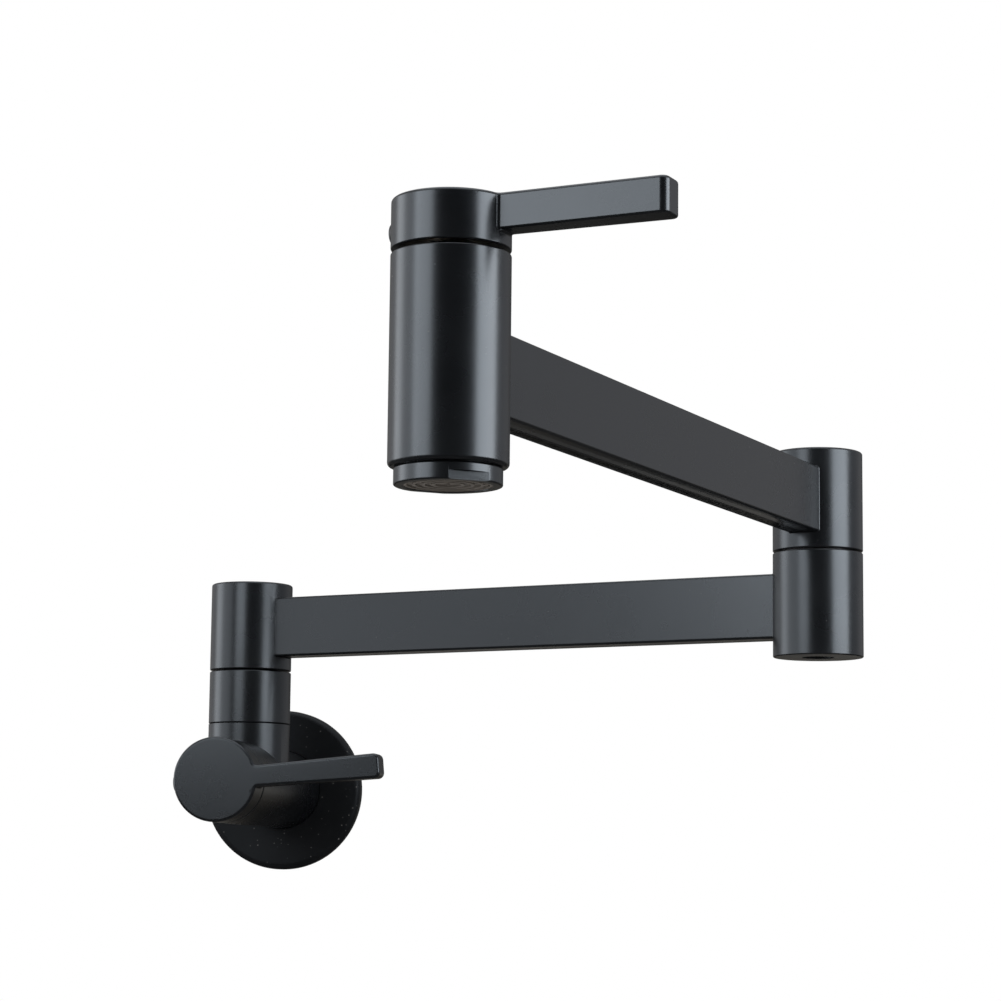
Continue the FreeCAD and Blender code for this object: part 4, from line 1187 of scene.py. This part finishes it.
@dataclass
class OuterArm(SwivelArm):
    """The arm that turns about the elbow, with the spout and its aerator."""

    bottom: float = 70.45
    arm_bottom: float = 75.16
    arm_top: float = 95.46
    top: float = 101.61
    spout_bottom: float = 60.7
    spout_rim: float = 1.0
    pocket: float = 12.0
    pocket_rim: float = 0.15
    pocket_depth: float = 7.0
    mouth: float = 110.15
    headwork: HeadworkBore = HeadworkBore()
    aerator_bottom: float = 56.45
    aerator_ring: float = 12.55
    aerator_neck: float = 11.4
    aerator_thread: float = 11.97
    aerator_bore: float = 10.5
    aerator_run: float = 6.0
    aerator_gap: float = 0.2
    aerator_mouth: float = 10.3
    aerator_mouth_rim: float = 0.1
    aerator_lip: float = 0.25
    aerator_turn: float = -56.6
    flat_place: float = 11.5
    flat_height: float = 2.1
    flat_half_width: float = 13.0
    straightener: float = 10.47
    straightener_bore: float = 9.57
    plate_low: float = 0.5
    plate_high: float = 2.0
    half_rib: float = 0.4
    ribs: tuple[float, ...] = (3.5, 5.7, 7.9)
    drill: float = 0.5
    drill_run: float = 4.0
    drill_rings: tuple[tuple[int, float], ...] = ((4, 1.75), (6, 4.6), (12, 6.8))

    def build(self) -> None:
        """Builds and dresses the pieces."""
        names = ("upper_elbow", "elbow_cap", "outer_arm")
        nodes = ("elbow_upper_barrel", "elbow_barrel_cap", "outer_arm_tube")
        spout = self.build_arm(self.places.elbow, self.places.spout, names, nodes)
        aerator = upright(self.places.spout, self.aerator_turn)
        self.dress(self.make_spout(), "spout_body", spout)
        self.dress(self.make_aerator(), "aerator_housing", aerator)
        self.dress(self.make_insert(), "aerator_insert", aerator, Slot.AERATOR_PLASTIC)

    def make_spout(self) -> Piece:
        """Spout barrel: valve bore from above, waterway, and the aerator's pocket below.

        Returns:
            The barrel.
        """
        low, mouth, steps = self.spout_bottom, self.mouth, self.headwork
        seat, roof = mouth - steps.seat_depth, low + self.pocket_depth
        spout = lathe("spout", [
            Corner(self.pocket, low, self.pocket_rim, Rim.HAIRLINE),
            Corner(self.barrel, low, self.spout_rim, Rim.WIDE),
            Corner(self.barrel, self.arm_bottom),
            Corner(self.barrel, self.arm_top),
            Corner(self.barrel, mouth, self.rim),
            Corner(steps.mouth, mouth),
            *steps.corners(mouth),
            Corner(steps.chamber, seat),
            Corner(steps.waterway, seat),
            Corner(steps.waterway, roof),
            Corner(self.pocket, roof),
        ])
        self.open_window(spout, -1)
        return spout

    def make_aerator(self) -> Piece:
        """Screw-in aerator housing, with the ring that shows and its two wrench flats.

        Returns:
            The housing.
        """
        low, top = self.aerator_bottom, self.spout_bottom + self.aerator_run
        lip = low + self.aerator_lip
        ring_top, neck_top = self.spout_bottom - self.aerator_gap, self.spout_bottom + self.aerator_gap
        housing = lathe("aerator_ring", [
            Corner(self.aerator_mouth, low, self.aerator_mouth_rim, Rim.HAIRLINE),
            Corner(self.aerator_ring, low, self.rim),
            Corner(self.aerator_ring, ring_top, self.rim),
            Corner(self.aerator_neck, ring_top),
            Corner(self.aerator_neck, neck_top),
            Corner(self.aerator_thread, neck_top),
            Corner(self.aerator_thread, top),
            Corner(self.aerator_bore, top),
            Corner(self.aerator_bore, lip),
            Corner(self.aerator_mouth, lip),
        ])
        for sign in (1, -1):
            near, far = sorted((sign * self.flat_place, sign * self.barrel))
            corner = (near, -self.flat_half_width, low - OVERRUN)
            combine(housing, block(corner, (far, self.flat_half_width, low + self.flat_height)))
        return housing

    def make_insert(self) -> Piece:
        """Flow straightener: a drilled plate in a sleeve, with concentric ribs below it.

        Returns:
            The straightener.
        """
        low, top = self.aerator_bottom + self.aerator_lip, self.spout_bottom + self.aerator_run
        plate, plate_top = low + self.plate_low, low + self.plate_high
        comb = [Corner(0, low), Corner(self.half_rib, low), Corner(self.half_rib, plate)]
        for rib in self.ribs:
            inner, outer = rib - self.half_rib, rib + self.half_rib
            comb += [Corner(inner, plate), Corner(inner, low), Corner(outer, low), Corner(outer, plate)]
        insert = lathe("flow_straightener", [
            *comb,
            Corner(self.straightener_bore, plate),
            Corner(self.straightener_bore, low),
            Corner(self.straightener, low),
            Corner(self.straightener, top),
            Corner(self.straightener_bore, top),
            Corner(self.straightener_bore, plate_top),
            Corner(0, plate_top),
        ], BORE_STEPS)
        combine(insert, self.make_drills((plate + plate_top) / 2))
        return insert

    def make_drills(self, level: float) -> Piece:
        """Rings of drills that pierce the straightener's plate, all copied from one on the axis.

        Args:
            level: Middle of the plate in mm.

        Returns:
            The drills, as one cutter.
        """
        drills = start_edit(
            "cutter", bpy.ops.mesh.primitive_cylinder_add,
            vertices=DRILL_STEPS, radius=self.drill, depth=self.drill_run,
        )
        bpy.ops.transform.translate(value=(0, 0, level))
        for count, ring in self.drill_rings:
            for number in range(count):
                pick(drills, Kind.VERTEX, self.on_axis)
                bpy.ops.mesh.duplicate()
                turn = math.tau * number / count
                bpy.ops.transform.translate(value=(ring * math.cos(turn), ring * math.sin(turn), 0))
        pick(drills, Kind.VERTEX, self.on_axis)
        bpy.ops.mesh.delete(type="VERT")
        close_up()
        return drills

    def on_axis(self, vertex: bmesh.types.BMVert) -> bool:
        """Whether a vertex is the axis drill's."""
        return vertex.co.xy.length < self.drill + TINY


@dataclass(kw_only=True)
class Handle(Assembly):
    """A round cap with a flat lever, cast in one, and the plug over its grub screw."""

    prefix: str
    place: Matrix
    gap: float = 1.0
    top: float = 12.9
    top_rim: float = 0.9
    recess: float = 11.0
    recess_roof: float = 2.2
    stem_hole: float = 4.05
    stem_roof: float = 9.6
    lever_base: float = 4.3
    lever_length: float = 55.2
    half_axis: float = 3.3
    half_tip: float = 4.1
    tip_corner: float = 2.0
    tip_steps: int = 8
    # The bar's end inside the cap, along and across.
    heel: tuple[Pair, ...] = ((8.0, 0.0), (8.0, 6.0), (11.6, 6.0))
    root: float = 1.0
    root_share: float = 0.999
    sunk: float = 0.03
    under_rim: float = 0.6
    plug_level: float = 6.2
    plug_seat: float = 2.88
    plug_depth: float = 1.0
    plug: float = 2.85
    plug_rim: float = 0.6
    plug_crown: float = 15.15
    plug_pin: float = 1.97
    plug_pin_start: float = 9.4
    grub_hole: float = 2.0
    grub_start: float = 3.0

    def build(self, twin: "Handle") -> None:
        """Builds and dresses the pieces, and copies of them for another handle of the same casting.

        Args:
            twin: The other handle.
        """
        lever, plug = self.make_lever(), self.make_plug()
        twin_lever = duplicate(lever, f"{twin.prefix}_lever")
        twin_plug = duplicate(plug, f"{twin.prefix}_plug")
        self.dress_pair(lever, plug)
        twin.dress_pair(twin_lever, twin_plug)

    def dress_pair(self, lever: Piece, plug: Piece) -> None:
        """Dresses the casting and its plug."""
        self.dress(lever, f"{self.prefix}_handle_lever", self.place)
        self.dress(plug, f"{self.prefix}_handle_plug", self.place, Slot.BLACK_PLASTIC)

    def make_lever(self) -> Piece:
        """Turns the cap, joins the bar and its under fillet on, and drills it for plug and grub screw.

        Returns:
            The casting, with its lever along +X.
        """
        lever = lathe(f"{self.prefix}_lever", [
            Corner(0, self.stem_roof),
            Corner(self.stem_hole, self.stem_roof),
            Corner(self.stem_hole, self.recess_roof),
            Corner(self.recess, self.recess_roof),
            Corner(self.recess, self.gap),
            Corner(self.barrel, self.gap, self.rim, Rim.LOW),
            Corner(self.barrel, self.top, self.top_rim, Rim.WIDE),
            Corner(0, self.top),
        ])
        combine(lever, self.make_bar(), "UNION")
        combine(lever, self.make_under_fillet(), "UNION")
        seat, outside = self.barrel - self.plug_depth, self.barrel + OVERRUN
        drill = lathe("cutter", [
            Corner(0, self.grub_start),
            Corner(self.grub_hole, self.grub_start),
            Corner(self.grub_hole, seat),
            Corner(self.plug_seat, seat),
            Corner(self.plug_seat, outside),
            Corner(0, outside),
        ], GRUB_STEPS)
        drill.matrix_world = self.plug_place()
        combine(lever, drill)
        return lever

    def make_bar(self) -> Piece:
        """Draws half of the bar's outline with its root fillet and tip corner, mirrors, fills and raises it.

        Returns:
            The bar, from inside the cap to the tip.
        """
        half = self.half_axis + (self.half_tip - self.half_axis) * self.barrel / self.lever_length
        across, skin = half + self.root, self.barrel - self.sunk
        ball = Vector((math.sqrt((skin + self.root) ** 2 - across ** 2), across, 0))
        touch = ball * skin / (skin + self.root)
        slide = (touch.y - half) / touch.x
        corner = Vector((touch.x + slide * touch.y, half, 0))
        tip = Vector((self.lever_length, self.half_tip, 0))
        heel = [Vector((x, y, 0)) for x, y in self.heel]
        bar = draw_line("bar", [*heel, touch, corner, tip, Vector((self.lever_length, 0, 0))])
        round_corner(bar, corner, (touch - corner).length * self.root_share, Rim.USUAL)
        round_corner(bar, tip, self.tip_corner, self.tip_steps)
        bpy.ops.mesh.select_all(action="SELECT")
        bpy.ops.mesh.duplicate()
        bpy.ops.transform.resize(value=(1, -1, 1), center_override=(0, 0, 0))
        bpy.ops.mesh.select_all(action="SELECT")
        bpy.ops.mesh.remove_doubles(threshold=MERGE_DISTANCE)
        bpy.ops.mesh.edge_face_add()
        bpy.ops.transform.translate(value=(0, 0, self.lever_base))
        extrude(0, 0, self.top - self.lever_base)
        for level, offset in ((self.top, self.top_rim), (self.lever_base, self.under_rim)):
            pick_level(bar, ALONG_Z, level)
            bpy.ops.mesh.bevel(offset=offset, segments=Rim.USUAL, affect="EDGES")
        close_up()
        return bar

    def make_under_fillet(self) -> Piece:
        """The fillet between the cap's wall and the underside of the bar, cut from a turned ring.

        Returns:
            The fillet.
        """
        level, skin = self.lever_base + self.sunk, self.barrel - self.sunk
        foot, roof, half_width = level - self.root, level + OVERRUN, self.half_axis - self.under_rim / 2
        fillet = lathe("under_fillet", [
            Corner(skin - OVERRUN, foot),
            Corner(skin, foot - self.sunk),
            Corner(skin, level, self.root),
            Corner(skin + self.root + self.sunk, level),
            Corner(skin + self.root, roof),
            Corner(skin - OVERRUN, roof),
        ])
        combine(fillet, block((0, -half_width, 0), (2 * skin, half_width, self.top)), "INTERSECT")
        return fillet

    def plug_place(self) -> Matrix:
        """The frame of the plug's hole, which counts outwards on the side opposite the lever."""
        return Matrix.Translation((0, 0, self.plug_level)) @ Matrix.Rotation(-QUARTER_TURN, 4, "Y")

    def make_plug(self) -> Piece:
        """Crowned round plug over the grub screw, opposite the lever.

        Returns:
            The plug.
        """
        seat = self.barrel - self.plug_depth
        plug = lathe(f"{self.prefix}_plug", [
            Corner(0, self.plug_pin_start),
            Corner(self.plug_pin, self.plug_pin_start),
            Corner(self.plug_pin, seat),
            Corner(self.plug, seat),
            Corner(self.plug, self.plug_crown, self.plug_rim),
            Corner(0, self.plug_crown),
        ], PLUG_STEPS)
        plug.matrix_world = self.plug_place()
        work_on(plug)
        bpy.ops.object.transform_apply(location=True, rotation=True, scale=False)
        return plug


# ---------------------------------------------------------------- studio


def stand(data: bpy.types.Camera | bpy.types.Light, place: Triple, axes: Matrix) -> Piece:
    """Stands a camera or a lamp in the scene.

    Args:
        data: The camera's or lamp's data.
        place: Where it stands, in metres.
        axes: Its turn.

    Returns:
        The new object.
    """
    item = bpy.data.objects.new(data.name, data)
    bpy.context.scene.collection.objects.link(item)
    item.matrix_world = Matrix.Translation(place) @ axes.to_4x4()
    return item


@dataclass(frozen=True)
class Camera:
    """The photograph's camera, fitted to the object: metres, degrees and pixels."""

    place: Triple = (0.22585, -0.99071, -0.03303)
    yaw: float = -8.462
    pitch: float = 7.915
    roll: float = 0.622
    focal_pixels: float = 2756.4
    image_pixels: float = 1001.0
    sensor: float = 36.0
    clip_start: float = 0.01

    def make(self) -> None:
        """Creates the camera and makes it the scene's."""
        yaw, pitch, roll = (math.radians(angle) for angle in (self.yaw, self.pitch, self.roll))
        forward = Vector((math.sin(yaw) * math.cos(pitch), math.cos(yaw) * math.cos(pitch), math.sin(pitch)))
        level_right = Vector((math.cos(yaw), -math.sin(yaw), 0.0))
        level_up = level_right.cross(forward)
        right = level_right * math.cos(roll) + level_up * math.sin(roll)
        up = level_up * math.cos(roll) - level_right * math.sin(roll)
        data = bpy.data.cameras.new("camera")
        data.sensor_width = self.sensor
        data.lens = self.focal_pixels * self.sensor / self.image_pixels
        data.clip_start = self.clip_start
        bpy.context.scene.camera = stand(data, self.place, Matrix((right, up, -forward)).transposed())


@dataclass(frozen=True)
class SoftBox:
    """One lamp: a rectangle that faces the tap, in metres and watts."""

    name: str
    place: Triple
    width: float
    height: float
    power: float
    tone: Triple = (0.94, 0.97, 1.0)

    def make(self, target: Vector) -> None:
        """Hangs the lamp in its place and turns it to the target.

        Args:
            target: What it faces.
        """
        data = bpy.data.lights.new(self.name, "AREA")
        data.shape = "RECTANGLE"
        data.size, data.size_y = self.width, self.height
        data.energy = self.power
        data.color = self.tone
        stand(data, self.place, (Vector(self.place) - target).to_track_quat("Z", "Y").to_matrix())


@dataclass(frozen=True)
class Studio:
    """The camera, the lamps, the white surroundings and the pale floor."""

    centre: Triple = (0.11, -0.2, 0.05)
    floor_level: float = -0.45
    floor_size: float = 2.6
    floor_tone: Triple = (0.84, 0.82, 0.79)
    floor_mirrored: Triple = (0.10, 0.095, 0.09)
    floor_roughness: float = 0.8
    floor_white: float = 0.55
    fade_start_share: float = 0.12
    fade_end_share: float = 0.48
    lamps: tuple[SoftBox, ...] = (
        SoftBox("key_left", (-0.196, -0.696, 0.216), 0.31, 0.32, 1.35),
        SoftBox("wide_left", (-1.466, -0.478, 0.25), 1.9, 1.2, 8.2),
        SoftBox("far_left", (-1.38, -0.08, 0.25), 0.55, 1.0, 3.4),
        SoftBox("right_box", (0.71, -0.425, 0.21), 0.50, 0.34, 3.8),
        SoftBox("overhead", (0.11, -0.3, 1.25), 1.4, 1.4, 8.0),
    )
    white: Triple = (1.0, 1.0, 1.0)
    ambient: Triple = (0.22, 0.22, 0.225)
    # What the coat mirrors: degrees round the tap from the front towards +X, with their tones.
    around: tuple[Row, ...] = (
        (-180, 0.12, 0.12, 0.12),
        (-150, 0.25, 0.25, 0.25),
        (-120, 0.60, 0.60, 0.62),
        (-55, 0.60, 0.60, 0.62),
        (-30, 0.10, 0.10, 0.10),
        (-15, 0.03, 0.03, 0.03),
        (30, 0.03, 0.03, 0.03),
        (50, 0.09, 0.10, 0.11),
        (62, 0.40, 0.42, 0.45),
        (130, 0.46, 0.46, 0.48),
        (146, 0.34, 0.34, 0.35),
        (166, 0.10, 0.10, 0.10),
        (180, 0.12, 0.12, 0.12),
    )
    # The same by degrees of rise, for what comes from below.
    upward: tuple[Row, ...] = (
        (-90, 0.012, 0.011, 0.010),
        (-16, 0.005, 0.005, 0.004),
        (-10, 0.100, 0.092, 0.080),
        (-6, 0.170, 0.162, 0.148),
        (-4, 0.320, 0.310, 0.290),
        (90, 0.320, 0.310, 0.290),
    )
    above: Triple = (0.55, 0.55, 0.56)
    low_rise: Pair = (-0.07, 0.0)
    high_rise: Pair = (0.4, 0.8)

    def build(self) -> None:
        """Sets the whole studio up."""
        bpy.context.scene.view_settings.view_transform = "Standard"
        Camera().make()
        for lamp in self.lamps:
            lamp.make(Vector(self.centre))
        self.make_world()
        self.make_floor()

    def make_world(self) -> None:
        """White for the eye. Reflections show the surroundings in the tones that the photograph mirrors."""
        world = bpy.data.worlds.new("surroundings")
        bpy.context.scene.world = world
        world.use_nodes = True
        world.node_tree.nodes.clear()
        net = Net(world.node_tree)
        seen = net.add("ShaderNodeLightPath").outputs
        mirrored = net.math("MAXIMUM", seen["Is Glossy Ray"], seen["Is Transmission Ray"])
        plain = net.tint(mirrored, colour(*self.ambient), self.mirrored_tone(net))
        tone = net.tint(seen["Is Camera Ray"], plain, colour(*self.white))
        back = net.add("ShaderNodeBackground", {"Color": tone, "Strength": 1.0})
        net.add("ShaderNodeOutputWorld", {"Surface": back.outputs[0]})

    def mirrored_tone(self, net: Net) -> Socket:
        """The surroundings' tone by direction: one run of tones round the tap, one below and one above.

        Args:
            net: The world's net.

        Returns:
            The tone.
        """
        direction = net.add("ShaderNodeTexCoord").outputs["Generated"]
        way = net.add("ShaderNodeSeparateXYZ", {0: direction}).outputs
        azimuth = net.math("ARCTAN2", way[0], net.math("MULTIPLY", way[1], -1.0))
        ring = self.by_angle(net, azimuth, self.around)
        low = self.by_angle(net, net.math("ARCSINE", way[2]), self.upward)
        raised = net.tint(net.spread(way[2], self.low_rise), low, ring)
        return net.tint(net.spread(way[2], self.high_rise), raised, colour(*self.above))

    @staticmethod
    def by_angle(net: Net, angle: Socket, tones: Sequence[Row]) -> Socket:
        """A tone read from a table whose rows hold an angle, from -180 to 180 degrees, and its colour."""
        share = net.math("MULTIPLY_ADD", angle, 1 / math.tau, 0.5)
        return net.ramp(share, [(degrees / 360 + 0.5, colour(*tone)) for degrees, *tone in tones])

    def make_floor(self) -> None:
        """Pale floor below the tap, which fades to white for the eye towards its edge."""
        deselect_all()
        bpy.ops.mesh.primitive_plane_add(size=self.floor_size, location=(*self.centre[:2], self.floor_level))
        floor = bpy.context.object
        floor.name = "floor"
        finish = Finish("pale_floor")
        net, shader, place = finish.start()
        seen = net.add("ShaderNodeLightPath").outputs
        paper = net.tint(seen["Is Glossy Ray"], colour(*self.floor_tone), colour(*self.floor_mirrored))
        net.feed(shader, {"Base Color": paper, "Roughness": self.floor_roughness})
        away = net.add("ShaderNodeVectorMath", {0: place}, operation="LENGTH").outputs["Value"]
        run = (self.floor_size * self.fade_start_share, self.floor_size * self.fade_end_share)
        fade = net.spread(away, run, (self.floor_white, 1.0))
        share = net.math("MULTIPLY", fade, seen["Is Camera Ray"])
        white = net.add("ShaderNodeEmission", {"Color": colour(*self.white), "Strength": 1.0})
        mixed = net.add("ShaderNodeMixShader", {0: share, 1: shader.outputs[0], 2: white.outputs[0]})
        net.feed(net.tree.nodes["Material Output"], {"Surface": mixed.outputs[0]})
        floor.data.materials.append(bpy.data.materials[finish.name])


# ---------------------------------------------------------------- the whole tap

FLANGE_COAT = BlackCoat(
    "dusty_black_coat",
    deep=(0.0045, 0.0047, 0.0053),
    pale=(0.0070, 0.0074, 0.0082),
    dust=(0.125, 0.12, 0.115),
    smooth_roughness=0.40,
    rough_roughness=0.50,
    speck_share=0.26,
    speck_size=0.18,
    specular=0.16,
)
# Painted shade: the brass pieces that show in the seams get a brass darkened nearly to black, so the seams
# look dark.
SEAM_SHADED_BRASS = TurnedMetal("seam_shaded_brass", (0.016, 0.014, 0.011), (0.009, 0.008, 0.007), 0.5)
SEAM_SHADED_PIECES = ("base_spindle", "spout_valve_stem", "wall_valve_stem")
FINISHES = {
    Slot.PAINT: BlackCoat("satin_black_coat"),
    Slot.BLACK_PLASTIC: Moulded("black_plug_plastic", (0.006, 0.006, 0.007), (0.010, 0.010, 0.011), 0.38),
    Slot.BRASS: TurnedMetal("turned_brass", (0.52, 0.36, 0.15), (0.36, 0.24, 0.10)),
    Slot.STAINLESS: TurnedMetal("plain_stainless", (0.56, 0.56, 0.57), (0.44, 0.44, 0.45)),
    Slot.CERAMIC: Moulded("lapped_ceramic", (0.80, 0.79, 0.76), (0.74, 0.73, 0.70), 0.22),
    Slot.RUBBER: Moulded("nitrile_rubber", (0.012, 0.012, 0.012), (0.018, 0.018, 0.018), 0.6),
    Slot.FOAM: Moulded(
        "closed_cell_foam", (0.05, 0.05, 0.052), (0.09, 0.09, 0.095), 0.9,
        grain_scale=1400.0, grain_depth=0.00012,
    ),
    Slot.FIBRE: Moulded(
        "red_fibre", (0.36, 0.09, 0.06), (0.28, 0.07, 0.045), 0.7,
        grain_scale=1800.0, grain_depth=0.00004,
    ),
    Slot.SLIP_PLASTIC: Moulded("black_acetal", (0.020, 0.020, 0.021), (0.030, 0.030, 0.032), 0.4),
    Slot.AERATOR_PLASTIC: Moulded("aerator_plastic", (0.20, 0.18, 0.14), (0.27, 0.24, 0.19), 0.42),
}
WALL_LEVER_TURN = 5.0
SPOUT_LEVER_TURN = -17.0


def dress_hidden_nodes(finishes: dict[Slot, Material], greased: Material) -> None:
    """Gives every CAD node that stays its slot's finish, except the brass that shows in the seams, which gets
    brass darkened nearly to black as painted shade.

    Args:
        finishes: A material for each slot.
        greased: Brass darkened nearly to black, painted shade for the brass that shows in the seams.
    """
    for name, node in frame["nodes"].items():
        if node.hide_render:
            continue
        packed = node.material_slots[0].material.name.split(".")[0]
        # Painted shade: brass seen in the seams takes the near-black brass instead of its slot's finish.
        finish = greased if name in SEAM_SHADED_PIECES else finishes[Slot(packed)]
        node.data.materials.clear()
        node.data.materials.append(finish)
        log.info("%s keeps its CAD mesh, in %s", name, finish.name)


def main() -> None:
    """Builds the studio and the tap, piece by piece."""
    logging.basicConfig(level=logging.INFO, format="%(message)s")
    effects = Effects.build()
    finishes = {slot: finish.make(effects) for slot, finish in FINISHES.items()}
    places = Places.from_frame()
    Studio().build()
    WallUnit("wall_unit", places, finishes, flange_coat=FLANGE_COAT.make(effects)).build()
    InnerArm("inner_arm", places, finishes).build()
    OuterArm("outer_arm", places, finishes).build()
    wall_place = outward(places.wall_valve, WALL_LEVER_TURN)
    spout_place = Matrix.Translation(places.spout) @ about_z(SPOUT_LEVER_TURN)
    wall_handle = Handle("wall_handle", places, finishes, prefix="wall", place=wall_place)
    wall_handle.build(Handle("spout_handle", places, finishes, prefix="spout", place=spout_place))
    dress_hidden_nodes(finishes, SEAM_SHADED_BRASS.make(effects))


if __name__ == "__main__":
    main()
